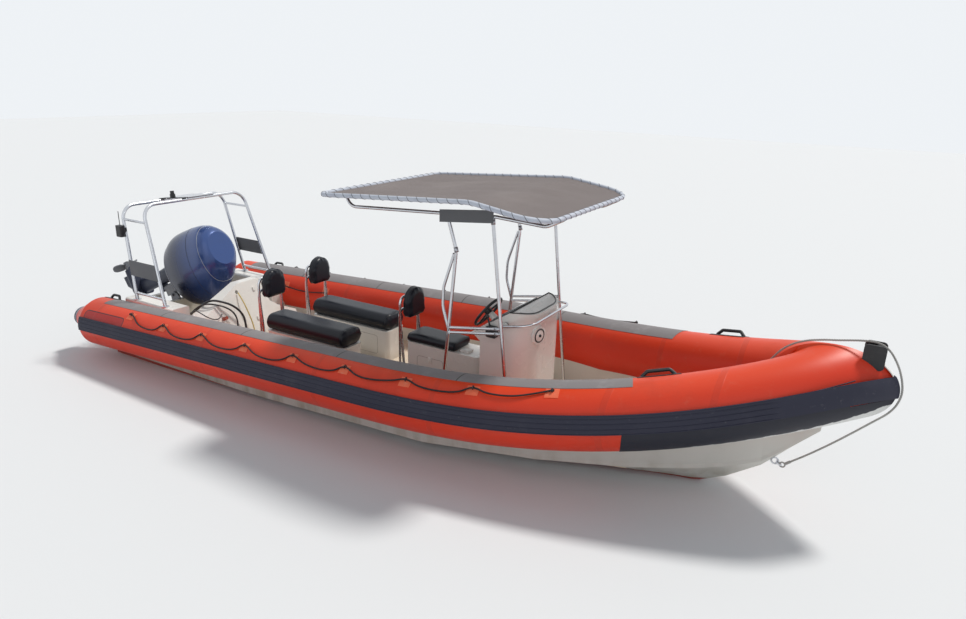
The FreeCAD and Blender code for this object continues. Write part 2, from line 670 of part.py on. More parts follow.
# Backrest with a domed top
def backrest_pad(y, x1):
    back = x1 - PAD_SET
    pad = box(back, back + PAD_T, y - PAD_W / 2.0, y + PAD_W / 2.0, *PAD_Z)
    for z, r in zip(PAD_Z, (PAD_LOW_R, PAD_TOP_R)):
        along_x = [e for e in pad.Edges if abs(e.tangentAt(e.FirstParameter).x) > 0.9]
        pad = pad.makeFillet(r, [e for e in along_x if abs(e.CenterOfMass.z - z) < 1.0])
    return pad


def backrest_hoop(y, x1):
    x = x1 - PAD_SET - SEAT_HOOP_R - FIT
    foot_x = x + SEAT_HOOP_LEAN
    knee_z = PAD_Z[0] - 2.0 * SEAT_HOOP_R
    y1, y2 = y - SEAT_HOOP_W, y + SEAT_HOOP_W
    main = [(foot_x, y1, DECK_Z), (x, y1, knee_z), (x, y1, SEAT_HOOP_TOP), (x, y2, SEAT_HOOP_TOP), (x, y2, knee_z),
            (foot_x, y2, DECK_Z)]
    stay = [(foot_x - SEAT_STAY_FOOT, y1, DECK_Z), (x - 8.0, y1, SEAT_STAY_TOP), (x - 8.0, y2, SEAT_STAY_TOP),
            (foot_x - SEAT_STAY_FOOT, y2, DECK_Z)]
    s = fused([rod(main, SEAT_HOOP_R, SEAT_HOOP_BEND), rod(stay, SEAT_HOOP_R - 1.0, SEAT_HOOP_BEND)])
    return s.common(box(0.0, NOSE_X, -TUBE_Y, TUBE_Y, DECK_Z, 2.0 * SEAT_HOOP_TOP))


rear = [SEATS["starboard"], SEATS["port"]]
write("rear_seat_pods", Part.makeCompound([pod(*s[:4]) for s in rear]))
write("rear_seat_cushions", Part.makeCompound([cushion(*s) for s in rear]))
helm_y, helm_x1, helm_x2, helm_top = SEATS["helm"][:4]
helm_front = helm_x2 + HELM_NOSE
helm_pod = pod(helm_y, helm_x1, helm_front, helm_top)
write("helm_seat_pod", helm_pod)
write("helm_seat_cushion", cushion(*SEATS["helm"]))
write("backrest_hoops", Part.makeCompound([backrest_hoop(*s[:2]) for s in SEATS.values()]))
write("backrest_pads", Part.makeCompound([backrest_pad(*s[:2]) for s in SEATS.values()]))

# Helm console with its column
half_w = CONSOLE_W / 2.0
console_top = max(z for x, z in CONSOLE_SIDE)
body = box(CONSOLE_SIDE[0][0], CONSOLE_FRONT, -half_w, half_w, DECK_Z, console_top + 10.0)
corners = [e for e in body.Edges if abs(e.tangentAt(e.FirstParameter).z) > 0.9 and e.CenterOfMass.x > CONSOLE_FRONT - 1.0]
body = body.makeFillet(CONSOLE_NOSE_R, corners).common(poly_xz(CONSOLE_SIDE, -half_w - 1.0, half_w + 1.0))
tilt = math.radians(WHEEL_TILT)
wheel_axis = V(-math.cos(tilt), 0, math.sin(tilt))
wheel_c = V(WHEEL_X, 0, WHEEL_Z)
column = Part.makeCylinder(COLUMN_R, 150.0, wheel_c - wheel_axis * 170.0, wheel_axis)
column = column.fuse(Part.makeCylinder(PIN_R, 60.0, wheel_c - wheel_axis * 45.0, wheel_axis))
write("console", body.fuse(column).removeSplitter())

# Steering wheel
up = wheel_axis.cross(Y)
rim_c = wheel_c + wheel_axis * 8.0
wheel = [Part.makeTorus(WHEEL_R, WHEEL_RIM, rim_c, wheel_axis)]
wheel.append(Part.makeCylinder(WHEEL_HUB_R, WHEEL_HUB_L, wheel_c - wheel_axis * (WHEEL_HUB_L / 3.0), wheel_axis))
for k in range(SPOKES):
    a = math.radians(90.0 + 360.0 / SPOKES * k)
    d = Y * math.cos(a) + up * math.sin(a)
    wheel.append(Part.makeCylinder(SPOKE_R, WHEEL_R - WHEEL_HUB_R + 8.0, rim_c + d * (WHEEL_HUB_R - 8.0), d))
bore = Part.makeCylinder(PIN_R + PIN_GAP, WHEEL_HUB_L - 8.0, wheel_c - wheel_axis * (WHEEL_HUB_L / 3.0 + 4.0), wheel_axis)
write("steering_wheel", fused(wheel).cut(bore))

# Port light, rail, lever box and filler on the console
turn = math.radians(PORT_ANGLE)
port_n = V(math.cos(turn), math.sin(turn), 0)
port_at = V(CONSOLE_FRONT - CONSOLE_NOSE_R, -(half_w - CONSOLE_NOSE_R), PORT_Z) + port_n * (CONSOLE_NOSE_R - 6.0)
write("console_port", Part.makeCylinder(PORT_R, PORT_T, port_at, port_n).cut(body))
rail_y = half_w + RAIL_GAP
rail_x = CONSOLE_FRONT + RAIL_GAP
rail = [rod([(RAIL_AFT[0], -rail_y, RAIL_AFT[1]), (rail_x, -rail_y, RAIL_FORE_Z), (rail_x, rail_y, RAIL_FORE_Z),
             (RAIL_AFT[0], rail_y, RAIL_AFT[1])], RAIL_R, CONSOLE_NOSE_R)]
stay_x = RAIL_AFT[0] + RAIL_STAY
stay_z = RAIL_AFT[1] + RAIL_STAY * (RAIL_FORE_Z - RAIL_AFT[1]) / (rail_x - RAIL_AFT[0])
side_stay = Part.makeCylinder(8.0, RAIL_GAP - FIT, V(stay_x, -rail_y, stay_z), Y)
rail += [side_stay, port(side_stay), Part.makeCylinder(8.0, RAIL_GAP - FIT, V(rail_x, 0, RAIL_FORE_Z), -X)]
write("console_rail", fused(rail))
lever_y = -half_w - FIT
lever = rounded(LEVER_X - 50.0, LEVER_X + 50.0, lever_y - 46.0, lever_y, LEVER_Z - 50.0, LEVER_Z + 50.0, 15.0, Y)
lever = lever.fuse(rod([(LEVER_X, lever_y - 30.0, LEVER_Z), (LEVER_X - 40.0, lever_y - 34.0, LEVER_Z + 130.0)], 8.0))
write("throttle", lever.fuse(Part.makeSphere(17.0, V(LEVER_X - 40.0, lever_y - 34.0, LEVER_Z + 135.0))))
filler = Part.makeCylinder(FITTING_R, 12.0, V(FITTING_X, -half_w - FIT, FITTING_Z), -Y)
write("console_fitting", filler)

# Canopy frame
rear_x, rear_z = CANOPY_REAR
knee_x, knee_z = CANOPY_KNEE
front_x, front_z = CANOPY_FRONT
half_rim = rod([(rear_x, 0, rear_z), (rear_x, -CANOPY_HALF, rear_z), (knee_x, -CANOPY_HALF, knee_z),
                (front_x, -CANOPY_HALF, front_z), (front_x, 0, front_z)], RIM_R, RIM_BENDS)


def side_rod(points, r, bend=None):
    return rod([(x, -LEG_Y, z) for x, z in points], r, bend)


def arm(z):
    return side_rod([(ARM_X[0], z), (ARM_X[1], z + ARM_RISE)], ARM_R)


side = [half_rim, side_rod([CANOPY_REAR] + UNDER_RAIL + [(front_x, front_z - 12.0)], LEG_R, UNDER_RAIL_BEND),
        side_rod(FORE_LEG, LEG_R), side_rod(REAR_LEG, LEG_R, 260.0), side_rod(STAY_LEG, STAY_R, 260.0)]
side += [arm(z) for z in ARM_Z]
side += [Part.makeCylinder(LEG_FOOT_R, 6.0, V(leg[-1][0], -LEG_Y, DECK_Z)) for leg in (FORE_LEG, REAR_LEG)]
canopy_frame = fused([s for one in side for s in (one, port(one))])
write("canopy_frame", canopy_frame.common(box(0.0, NOSE_X, -TUBE_Y, TUBE_Y, DECK_Z, 2.0 * knee_z)))

# Canopy cloth and the blank sign under its edge
inset = RIM_R + FIT
cloth = [(rear_x + inset, rear_z + 12.0), (knee_x, knee_z + 8.0), (front_x - inset, front_z + 12.0)]
under = [(x, z - CLOTH_T) for x, z in reversed(cloth)]
plan = box(rear_x + inset, front_x - inset, -CANOPY_HALF + inset, CANOPY_HALF - inset, front_z - 100.0, knee_z + 100.0)
for x, r in ((rear_x + inset, RIM_BENDS[0]), (front_x - inset, RIM_BENDS[2])):
    upright = [e for e in plan.Edges if abs(e.tangentAt(e.FirstParameter).z) > 0.9]
    plan = plan.makeFillet(r, [e for e in upright if abs(e.CenterOfMass.x - x) < 1.0])
write("canopy", poly_xz(cloth + under, -CANOPY_HALF + inset, CANOPY_HALF - inset).common(plan))
write("blank_plate", poly_xz(SIGN, -LEG_Y - LEG_R - FIT - SIGN_T, -LEG_Y - LEG_R - FIT))

# Nose: strip, roller with two cheeks, towing eye
nose_c, nose_a, nose_b = tube_section(None, TUBE_R)


def nose_point(lift, deg):
    k = math.radians(deg)
    return nose_c + (nose_a + X * lift) * math.cos(k) + (nose_b + Z * lift) * math.sin(k)


def nose_arc(lift):
    return arc(nose_c, nose_a + X * lift, nose_b + Z * lift, STRIP_ANGLES[0], STRIP_ANGLES[1])


low, high = 3.0, 3.0 + STRIP_T
ends = [Part.LineSegment(nose_point(low, k), nose_point(high, k)).toShape() for k in STRIP_ANGLES]
strip = Part.Face(Part.Wire(Part.__sortEdges__([nose_arc(low), ends[0], nose_arc(high), ends[1]])))
strip = strip.extrude(Y * STRIP_W)
strip.translate(-Y * (STRIP_W / 2.0))
write("stem_strip", strip)

roller_x = nose_c.x + ROLLER_X
nose_top = nose_c.z + nose_b.z * math.sqrt(1.0 - (ROLLER_X / nose_a.x) ** 2)
roller_z = nose_top + CHEEK_H - ROLLER_R
cheek = rounded(roller_x - CHEEK_L / 2.0, roller_x + CHEEK_L / 2.0, CHEEK_Y, CHEEK_Y + CHEEK_T,
                nose_top - 70.0, nose_top + CHEEK_H + 5.0, 30.0, Y)
sole = box(roller_x - CHEEK_L / 2.0 + 15.0, roller_x + CHEEK_L / 2.0 - 15.0, -CHEEK_Y - 1.0, CHEEK_Y + 1.0,
           nose_top - 70.0, nose_top + 26.0)
pin = Part.makeCylinder(ROLLER_R, 2.0 * CHEEK_Y + 2.0, V(roller_x + 20.0, -CHEEK_Y - 1.0, roller_z - 8.0), Y)
roller = fused([cheek, port(cheek), sole, pin])
write("bow_fairlead", biggest(roller.cut(tube_cutter).cut(port(tube_cutter))))

eye = Part.makeTorus(EYE_R, EYE_WIRE, V(EYE[0], 0, EYE[1]), Y).cut(hull)
write("bow_eye", biggest(eye))
eye_c = V(EYE[0], 0, EYE[1])
bow_c = V(SHACKLE_END[0], 0, SHACKLE_END[1])
pin_c = eye_c + (bow_c - eye_c).normalize() * (EYE_R - EYE_WIRE - SHACKLE_R - FIT)
half = SHACKLE_HALF
shackle = [rod([(pin_c.x, -half, pin_c.z), (bow_c.x, -half, bow_c.z), (bow_c.x, half, bow_c.z),
                (pin_c.x, half, pin_c.z)], SHACKLE_R, 12.0)]
shackle.append(Part.makeCylinder(SHACKLE_R, 2.0 * half + 16.0, pin_c - Y * (half + 8.0), Y))
write("bow_shackle", fused(shackle))

# Painter, its eye splice on the shackle and the post inside the bow
end, before = V(*PAINTER[-1]), V(*PAINTER[-2])
pull = (before - end).normalize()
neck_r, neck_l = SPLICE_NECK
ring_c = bow_c + (end - bow_c).normalize() * (SPLICE_R - SPLICE_WIRE - SHACKLE_R - FIT)
splice = Part.makeTorus(SPLICE_R, SPLICE_WIRE, ring_c, Y)
splice = splice.fuse(Part.makeCylinder(neck_r, neck_l, end - pull * (neck_l + FIT), pull))
write("painter_splice", splice)
write("painter", cord("painter", PAINTER, PAINTER_R))
post_z = tube_z(POST_X) - SEAT_DROP
post = Part.makeCylinder(POST_R, POST_H, V(POST_X, 0, post_z - 20.0)).cut(hull)
post = post.fuse(Part.makeCylinder(POST_PIN_R, POST_PIN_L, V(POST_X, -POST_PIN_L / 2.0, post_z + POST_H - 70.0), Y))
write("bow_post", biggest(post))

# Hoses from a gland block on the transom to the locker, and the connector on its face
gland_y, gland_z = GLAND
gland = rounded(TRANSOM_T, TRANSOM_T + GLAND_T, gland_y - 75.0, gland_y + 60.0, gland_z - 32.0, gland_z + 32.0, 12.0, X)
write("hose_gland", gland)
for name, points, r in zip(("main_hose", "second_hose", "thin_hose", "drain_hose"),
                           (MAIN_HOSE, SECOND_HOSE, THIN_HOSE, DRAIN_HOSE), HOSE_R):
    write(name, cord(name, points, r))
write("hose_connector", Part.makeCylinder(CONNECTOR_R, CONNECTOR_L, on_face(*CONNECTOR) + face_n * FIT, face_n))

# Outboard: clamp and swivel brackets
PIVOT = V(PIVOT_X, 0, PIVOT_Z)


def tilted(shape):
    out = shape.copy()
    out.rotate(PIVOT, Y, TILT)
    return out


arm_pts = [(-FIT, 225.0), (-FIT, WELL_Z + FIT), (TRANSOM_T, WELL_Z + FIT), (TRANSOM_T, 456.0), (10.0, 500.0),
           (-60.0, 512.0), (-105.0, 490.0), (-108.0, 440.0), (-50.0, 225.0)]
arm_half = CLAMP_IN + CLAMP_T
clamp = [poly_xz(arm_pts, CLAMP_IN, arm_half), poly_xz(arm_pts, -arm_half, -CLAMP_IN)]
clamp.append(Part.makeCylinder(TILT_R, 2.0 * arm_half + 38.0, PIVOT - Y * (arm_half + 19.0), Y))
clamp.append(Part.makeCylinder(8.0, 2.0 * arm_half - 12.0, V(-32.0, -arm_half + 6.0, 255.0), Y))
write("clamp_bracket", fused(clamp))

boss = SWIVEL_R + SWIVEL_WALL
swivel = [Part.makeCylinder(2.0 * TILT_R + 1.0, 2.0 * CLAMP_IN - 12.0, PIVOT - Y * (CLAMP_IN - 6.0), Y)]
swivel.append(box(SWIVEL_X + 5.0, PIVOT_X - 15.0, -58.0, 58.0, SWIVEL_Z[0] + 55.0, PIVOT_Z + 10.0))
swivel.append(Part.makeCylinder(boss, SWIVEL_Z[1] - SWIVEL_Z[0], V(SWIVEL_X, 0, SWIVEL_Z[0])))
swivel = fused(swivel)
swivel = swivel.cut(Part.makeCylinder(TILT_R + PIN_GAP, 260.0, PIVOT - Y * 130.0, Y))
swivel = swivel.cut(Part.makeCylinder(SWIVEL_R + PIN_GAP, 400.0, V(SWIVEL_X, 0, SWIVEL_Z[0] - 35.0)))
write("swivel_bracket", tilted(swivel))


# Outboard: body lofted through ovals
def oval(x1, x2, w, z):
    c = V((x1 + x2) / 2.0, 0, z)
    a, b = X * ((x2 - x1) / 2.0), Y * (w / 2.0)
    return Part.Wire([arc(c, a, b, -180.0, 0.0), arc(c, a, b, 0.0, 180.0)])


def ovals(rows):
    return Part.makeLoft([oval(*row) for row in rows], True, False)


yoke_top, yoke_low = SWIVEL_Z[1] + 7.0, SWIVEL_Z[0] - 7.0
leg = [Part.makeCylinder(SWIVEL_R, yoke_top - yoke_low + 58.0, V(SWIVEL_X, 0, yoke_low - 21.0))]
leg.append(box(-330.0, SWIVEL_X + 30.0, -55.0, 55.0, yoke_top, yoke_top + 33.0))
leg.append(box(-330.0, SWIVEL_X + 30.0, -50.0, 50.0, yoke_low - 38.0, yoke_low))
leg.append(ovals(MIDSECTION))
leg.append(ovals(PAN))
write("outboard_midsection", tilted(fused(leg)))
write("outboard_cowl", tilted(ovals(COWL)))

gear = [Part.makeCylinder(GEAR_R, GEAR_L, V(GEAR_END, 0, PROP_Z), X)]
gear.append(Part.makeCone(GEAR_R, 0.3 * GEAR_R, GEAR_NOSE, V(GEAR_END + GEAR_L, 0, PROP_Z), X))
gear.append(ovals(GEAR_TOP))
gear.append(poly_xz(SKEG, -7.0, 7.0))
gear.append(rounded(GEAR_END - 20.0, -235.0, -115.0, 115.0, -215.0, -207.0, 40.0, Z))
gear.append(Part.makeCylinder(SHAFT_R, 130.0, V(GEAR_END - 115.0, 0, PROP_Z), X))
write("outboard_gearcase", tilted(fused(gear)))

hub_r, hub_l = PROP_HUB
blade_c = V(GEAR_END - 5.0 - hub_l / 2.0, 0, PROP_Z)
prop = [Part.makeCylinder(hub_r, hub_l, V(GEAR_END - 7.0 - hub_l, 0, PROP_Z), X)]
for k in range(BLADES):
    blade = rounded(-BLADE_T / 2.0, BLADE_T / 2.0, -BLADE_W / 2.0, BLADE_W / 2.0, hub_r - 19.0, BLADE_R, 60.0, X)
    blade.rotate(V(0, 0, 0), Z, BLADE_PITCH)
    blade.rotate(V(0, 0, 0), X, 360.0 / BLADES * k)
    blade.translate(blade_c)
    prop.append(blade)
shaft_hole = Part.makeCylinder(SHAFT_R + PIN_GAP, 300.0, V(GEAR_END - 200.0, 0, PROP_Z), X)
write("propeller", tilted(fused(prop).cut(shaft_hole)))
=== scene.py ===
import math

import bmesh
import bpy
from mathutils import Matrix, Vector


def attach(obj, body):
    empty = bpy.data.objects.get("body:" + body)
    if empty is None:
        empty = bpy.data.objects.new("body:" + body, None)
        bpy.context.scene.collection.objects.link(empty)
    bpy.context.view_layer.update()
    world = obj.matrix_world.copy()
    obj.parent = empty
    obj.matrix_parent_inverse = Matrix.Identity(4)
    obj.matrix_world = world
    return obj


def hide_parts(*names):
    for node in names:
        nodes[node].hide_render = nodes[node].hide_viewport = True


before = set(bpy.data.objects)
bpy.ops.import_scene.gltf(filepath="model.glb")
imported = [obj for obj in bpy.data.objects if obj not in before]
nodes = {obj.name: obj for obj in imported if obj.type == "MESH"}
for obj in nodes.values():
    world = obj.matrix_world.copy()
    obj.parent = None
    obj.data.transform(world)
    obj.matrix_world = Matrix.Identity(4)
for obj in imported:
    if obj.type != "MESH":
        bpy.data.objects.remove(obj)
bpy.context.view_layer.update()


# Camera: it stands off the starboard bow, a little above the canopy, and looks aft over the boat.
camera_place = Vector((7.533, -5.438, 3.147))
camera_right = Vector((0.859, 0.512, 0.026))
camera_up = Vector((-0.181, 0.254, 0.950))
camera_back = camera_right.cross(camera_up).normalized()
camera_up = camera_back.cross(camera_right).normalized()
camera_right.normalize()

camera_data = bpy.data.cameras.new("camera")
camera_data.lens = 26.443
camera_data.sensor_width = 36.0
camera = bpy.data.objects.new("camera", camera_data)
turn = Matrix((camera_right, camera_up, camera_back)).transposed()
camera.matrix_world = Matrix.Translation(camera_place) @ turn.to_4x4()
bpy.context.scene.collection.objects.link(camera)
bpy.context.scene.camera = camera


# Floor and light: a plain pale floor stands for the calm water, so only the hull above it shows.
# A soft high lamp from the port bow gives the shape, and the sky and a faint wide lamp fill the
# near side.
floor_half = 40.0


# add() makes one shader node, sets or links its inputs and returns it.
def add(tree, kind, inputs=(), **settings):
    made = tree.nodes.new(kind)
    for name, value in settings.items():
        setattr(made, name, value)
    for key, value in dict(inputs).items():
        if isinstance(value, bpy.types.NodeSocket):
            tree.links.new(value, made.inputs[key])
        else:
            made.inputs[key].default_value = value
    return made


def math_node(tree, operation, *values):
    return add(tree, "ShaderNodeMath", dict(enumerate(values)), operation=operation).outputs[0]


def new_material(name, roughness=0.5, **fixed):
    material = bpy.data.materials.new(name)
    material.use_nodes = True
    tree = material.node_tree
    shader = tree.nodes["Principled BSDF"]
    shader.inputs["Roughness"].default_value = roughness
    for key, value in fixed.items():
        shader.inputs[key.replace("_", " ")].default_value = value
    return material, tree, shader


maker = bmesh.new()
corners = ((-1, -1), (1, -1), (1, 1), (-1, 1))
maker.faces.new([maker.verts.new((sx * floor_half, sy * floor_half, 0)) for sx, sy in corners])
floor_mesh = bpy.data.meshes.new("floor")
maker.to_mesh(floor_mesh)
maker.free()
floor = bpy.data.objects.new("floor", floor_mesh)
bpy.context.scene.collection.objects.link(floor)
floor_pale = new_material("floor_pale", 0.85, Base_Color=(0.74, 0.76, 0.78, 1))[0]
floor_mesh.materials.append(floor_pale)

world = bpy.data.worlds.new("sky")
bpy.context.scene.world = world
world.use_nodes = True
tree = world.node_tree
tree.nodes.clear()
rays = add(tree, "ShaderNodeLightPath").outputs
seen = math_node(tree, "MAXIMUM", rays["Is Camera Ray"], rays["Is Glossy Ray"])
seen = math_node(tree, "MAXIMUM", seen, rays["Is Transmission Ray"])
soft_sky = add(tree, "ShaderNodeBackground", {"Color": (0.93, 0.96, 1.0, 1), "Strength": 0.43})
pale_back = add(tree, "ShaderNodeBackground", {"Color": (0.86, 0.89, 0.92, 1), "Strength": 1.0})
sky = add(tree, "ShaderNodeMixShader", {0: seen, 1: soft_sky.outputs[0], 2: pale_back.outputs[0]})
tree.links.new(sky.outputs[0], add(tree, "ShaderNodeOutputWorld").inputs["Surface"])


def add_sun(name, strength, softness, colour, toward):
    data = bpy.data.lights.new(name, "SUN")
    data.energy = strength
    data.angle = math.radians(softness)
    data.color = colour
    lamp = bpy.data.objects.new(name, data)
    lamp.rotation_euler = Vector(toward).to_track_quat("-Z", "Y").to_euler()
    bpy.context.scene.collection.objects.link(lamp)


add_sun("high_lamp", 2.5, 9.0, (1.0, 0.97, 0.92), (-0.28, -0.50, -0.95))
add_sun("near_lamp", 0.24, 50.0, (0.95, 0.97, 1.0), (-0.35, 0.9, -0.55))

bpy.context.scene.view_settings.view_transform = "Standard"


# Hull: moulded glass fibre in a grey white, dull with age, with red antifouling up to the waterline.
# It is one shell with chines and spray rails, and the tubes are bonded along its upper edge.


def mix_colour(tree, share, first, second, blend="MIX"):
    mix = add(tree, "ShaderNodeMix", data_type="RGBA", blend_type=blend)
    for socket, value in ((mix.inputs[0], share), (mix.inputs[6], first), (mix.inputs[7], second)):
        if isinstance(value, bpy.types.NodeSocket):
            tree.links.new(value, socket)
        else:
            socket.default_value = value
    return mix.outputs[2]


def span(tree, value, low, high, to_low=0.0, to_high=1.0, smooth=False):
    kind = "SMOOTHSTEP" if smooth else "LINEAR"
    inputs = {"Value": value, "From Min": low, "From Max": high, "To Min": to_low, "To Max": to_high}
    return add(tree, "ShaderNodeMapRange", inputs, interpolation_type=kind).outputs[0]


def paint(material, *names):
    for name in names:
        slots = nodes[name].data.materials
        slots.clear()
        slots.append(material)


def new_group(name, inputs, outputs):
    group = bpy.data.node_groups.new(name, "ShaderNodeTree")
    for title, kind, value in inputs:
        socket = group.interface.new_socket(title, in_out="INPUT", socket_type="NodeSocket" + kind)
        socket.default_value = value
    for title, kind in outputs:
        group.interface.new_socket(title, in_out="OUTPUT", socket_type="NodeSocket" + kind)
    return group, add(group, "NodeGroupInput"), add(group, "NodeGroupOutput")


def use_group(tree, group, **inputs):
    made = add(tree, "ShaderNodeGroup", node_tree=group)
    for key, value in inputs.items():
        socket = made.inputs[key.replace("_", " ")]
        if isinstance(value, bpy.types.NodeSocket):
            tree.links.new(value, socket)
        else:
            socket.default_value = value
    return made


# Paint on it is a colour with grime over it: broad soft patches of another colour, as dust, salt
# and water leave them on any surface.
grime, grime_in, grime_out = new_group(
    "grime",
    [("Color", "Color", (0.8, 0.8, 0.8, 1)), ("Dirt", "Color", (0.3, 0.27, 0.22, 1)),
     ("Amount", "Float", 0.4), ("Scale", "Float", 3.0), ("Bare", "Float", 0.5)],
    [("Color", "Color"), ("Mask", "Float")])
place = add(grime, "ShaderNodeTexCoord").outputs["Object"]
patches = {"Vector": place, "Scale": grime_in.outputs["Scale"], "Detail": 7.0, "Roughness": 0.62}
broad = add(grime, "ShaderNodeTexNoise", patches).outputs["Fac"]
patch = span(grime, broad, grime_in.outputs["Bare"], 0.85, smooth=True)
patch = math_node(grime, "MULTIPLY", patch, grime_in.outputs["Amount"])
tinted = mix_colour(grime, patch, grime_in.outputs["Color"], grime_in.outputs["Dirt"])
grime.links.new(tinted, grime_out.inputs["Color"])
grime.links.new(patch, grime_out.inputs["Mask"])


def grimed(tree, color, dirt, amount, scale, bare=0.5):
    color = (*color, 1) if isinstance(color, tuple) else color
    made = use_group(tree, grime, Color=color, Dirt=(*dirt, 1), Amount=amount, Scale=scale, Bare=bare)
    return made.outputs


def weathered(tree, shader, color, dirt, amount, scale, bare=0.5):
    worn = grimed(tree, color, dirt, amount, scale, bare)
    tree.links.new(worn["Color"], shader.inputs["Base Color"])
    return worn


waterline_paint = 0.035
hull_gelcoat, tree, shader = new_material("hull_gelcoat", 0.38)
place = add(tree, "ShaderNodeTexCoord").outputs["Object"]
axes = add(tree, "ShaderNodeSeparateXYZ", {0: place}).outputs
drawn_down = add(tree, "ShaderNodeMapping", {0: place, "Scale": (6.0, 6.0, 0.8)}).outputs[0]
streaking = {"Vector": drawn_down, "Scale": 1.5, "Detail": 6.0}
streaks = add(tree, "ShaderNodeTexNoise", streaking).outputs["Fac"]
near_water = span(tree, axes["Z"], 0.05, 0.30, 1.0, 0.0)
wet = math_node(tree, "MULTIPLY", near_water, span(tree, streaks, 0.42, 0.7, 0.1, 0.75))
worn = grimed(tree, (0.64, 0.625, 0.575), (0.44, 0.42, 0.36), 0.55, 2.0)
stained = mix_colour(tree, wet, worn["Color"], (0.30, 0.255, 0.17, 1))
wavy = math_node(tree, "MULTIPLY_ADD", streaks, 0.012, axes["Z"])
red = span(tree, wavy, waterline_paint + 0.003, waterline_paint + 0.006, 1.0, 0.0)
faded_red = mix_colour(tree, streaks, (0.26, 0.035, 0.022, 1), (0.36, 0.075, 0.05, 1))
tree.links.new(mix_colour(tree, red, stained, faded_red), shader.inputs["Base Color"])
tree.links.new(span(tree, red, 0.0, 1.0, 0.36, 0.75), shader.inputs["Roughness"])
paint(hull_gelcoat, "hull", "transom")


# White mouldings: plinths, locker, seat pods and console are gelcoat over glass fibre, laid up in
# moulds and bonded to the deck. They are scuffed and stained low down, where feet touch them.
white_gelcoat, tree, shader = new_material("white_gelcoat", 0.30, Coat_Weight=0.25)
axes = add(tree, "ShaderNodeSeparateXYZ", {0: add(tree, "ShaderNodeTexCoord").outputs["Object"]}).outputs
worn = grimed(tree, (0.80, 0.78, 0.74), (0.60, 0.55, 0.48), 0.45, 2.5)
low = span(tree, axes["Z"], 0.20, 0.34, 0.5, 0.0, smooth=True)
foot = mix_colour(tree, low, worn["Color"], (0.50, 0.44, 0.36, 1))
scuffs = grimed(tree, foot, (0.34, 0.31, 0.28), 0.5, 30.0, 0.68)
tree.links.new(scuffs["Color"], shader.inputs["Base Color"])
tree.links.new(span(tree, worn["Mask"], 0.0, 0.45, 0.26, 0.48), shader.inputs["Roughness"])
paint(white_gelcoat, "aframe_plinths", "stern_locker", "rear_seat_pods", "helm_seat_pod", "console",
      "locker_latches", "stem_strip")


# Deck: cream non-slip paint on glass fibre, gritty and dirty where people tread.
# Its grit is the grain effect: the fine unevenness of coated, moulded or cast surfaces, as a normal.
grain, grain_in, grain_out = new_group(
    "grain", [("Scale", "Float", 400.0), ("Strength", "Float", 0.15), ("Depth", "Float", 0.001)],
    [("Normal", "Vector"), ("Height", "Float")])
place = add(grain, "ShaderNodeTexCoord").outputs["Object"]
specks = {"Vector": place, "Scale": grain_in.outputs["Scale"], "Detail": 3.0}
fine = add(grain, "ShaderNodeTexNoise", specks).outputs["Fac"]
relief = add(grain, "ShaderNodeBump", {"Strength": grain_in.outputs["Strength"],
                                       "Distance": grain_in.outputs["Depth"], "Height": fine})
grain.links.new(relief.outputs["Normal"], grain_out.inputs["Normal"])
grain.links.new(fine, grain_out.inputs["Height"])


def textured(tree, shader, scale, strength, depth):
    fine = use_group(tree, grain, Scale=scale, Strength=strength, Depth=depth)
    tree.links.new(fine.outputs["Normal"], shader.inputs["Normal"])


deck_paint, tree, shader = new_material("deck_paint", 0.8)
worn = grimed(tree, (0.70, 0.60, 0.47), (0.42, 0.35, 0.27), 0.7, 2.2, 0.42)
trodden = grimed(tree, worn["Color"], (0.25, 0.20, 0.16), 0.4, 14.0, 0.6)
tree.links.new(trodden["Color"], shader.inputs["Base Color"])
textured(tree, shader, 500.0, 0.8, 0.0015)
paint(deck_paint, "deck")


# Buoyancy tubes: orange coated fabric glued in panels over each other, with a lap every metre or two.
# The run of a tube repeats the frame's: straight aft, turned in and lifted towards the bow.
tube_y, tube_radius, tube_z, tube_trim = 1.046, 0.272, 0.400, 0.04
bend_x, nose_x, bend_power, bend_root = 3.810, 7.527, 2.15, 0.885
mitre_from, mitre_slope = 6.850, 0.869
sheer_x, sheer, sheer_power = 4.255, 0.480, 2.5
lap_places = (0.20, 1.95, 3.42, 4.62, 5.93, 6.65)
lap_width = 0.022


def bent_y(x):
    share = max(0.0, (x - bend_x) / (nose_x - bend_x))
    return tube_y * (1 - share ** bend_power) ** (1 / bend_root)


mitre_y = bent_y(mitre_from)
mitre_in = (bent_y(mitre_from - 0.005) - bent_y(mitre_from + 0.005)) / 0.010
mitre_run = mitre_y / (0.5 * (mitre_in + mitre_slope))


def run_y(x):
    if x <= mitre_from:
        return bent_y(x)
    d = x - mitre_from
    return mitre_y - mitre_in * d - (mitre_slope - mitre_in) * d * d / (2 * mitre_run)


def run_z(x):
    return tube_z + tube_trim * x + sheer * (max(0.0, x - sheer_x) / (nose_x - sheer_x)) ** sheer_power


def on_tube(x, degrees, radius=tube_radius, sign=1):
    step = 0.001
    centre = Vector((x, -run_y(x), run_z(x)))
    along = Vector((2 * step, run_y(x - step) - run_y(x + step), run_z(x + step) - run_z(x - step)))
    flat = Vector((along.x, along.y, 0))
    rise = along.length / flat.length
    outward = flat.normalized().cross(Vector((0, 0, 1)))
    angle = math.radians(degrees)
    point = centre + radius * (math.cos(angle) * outward + math.sin(angle) * rise * Vector((0, 0, 1)))
    point.y *= sign
    return point


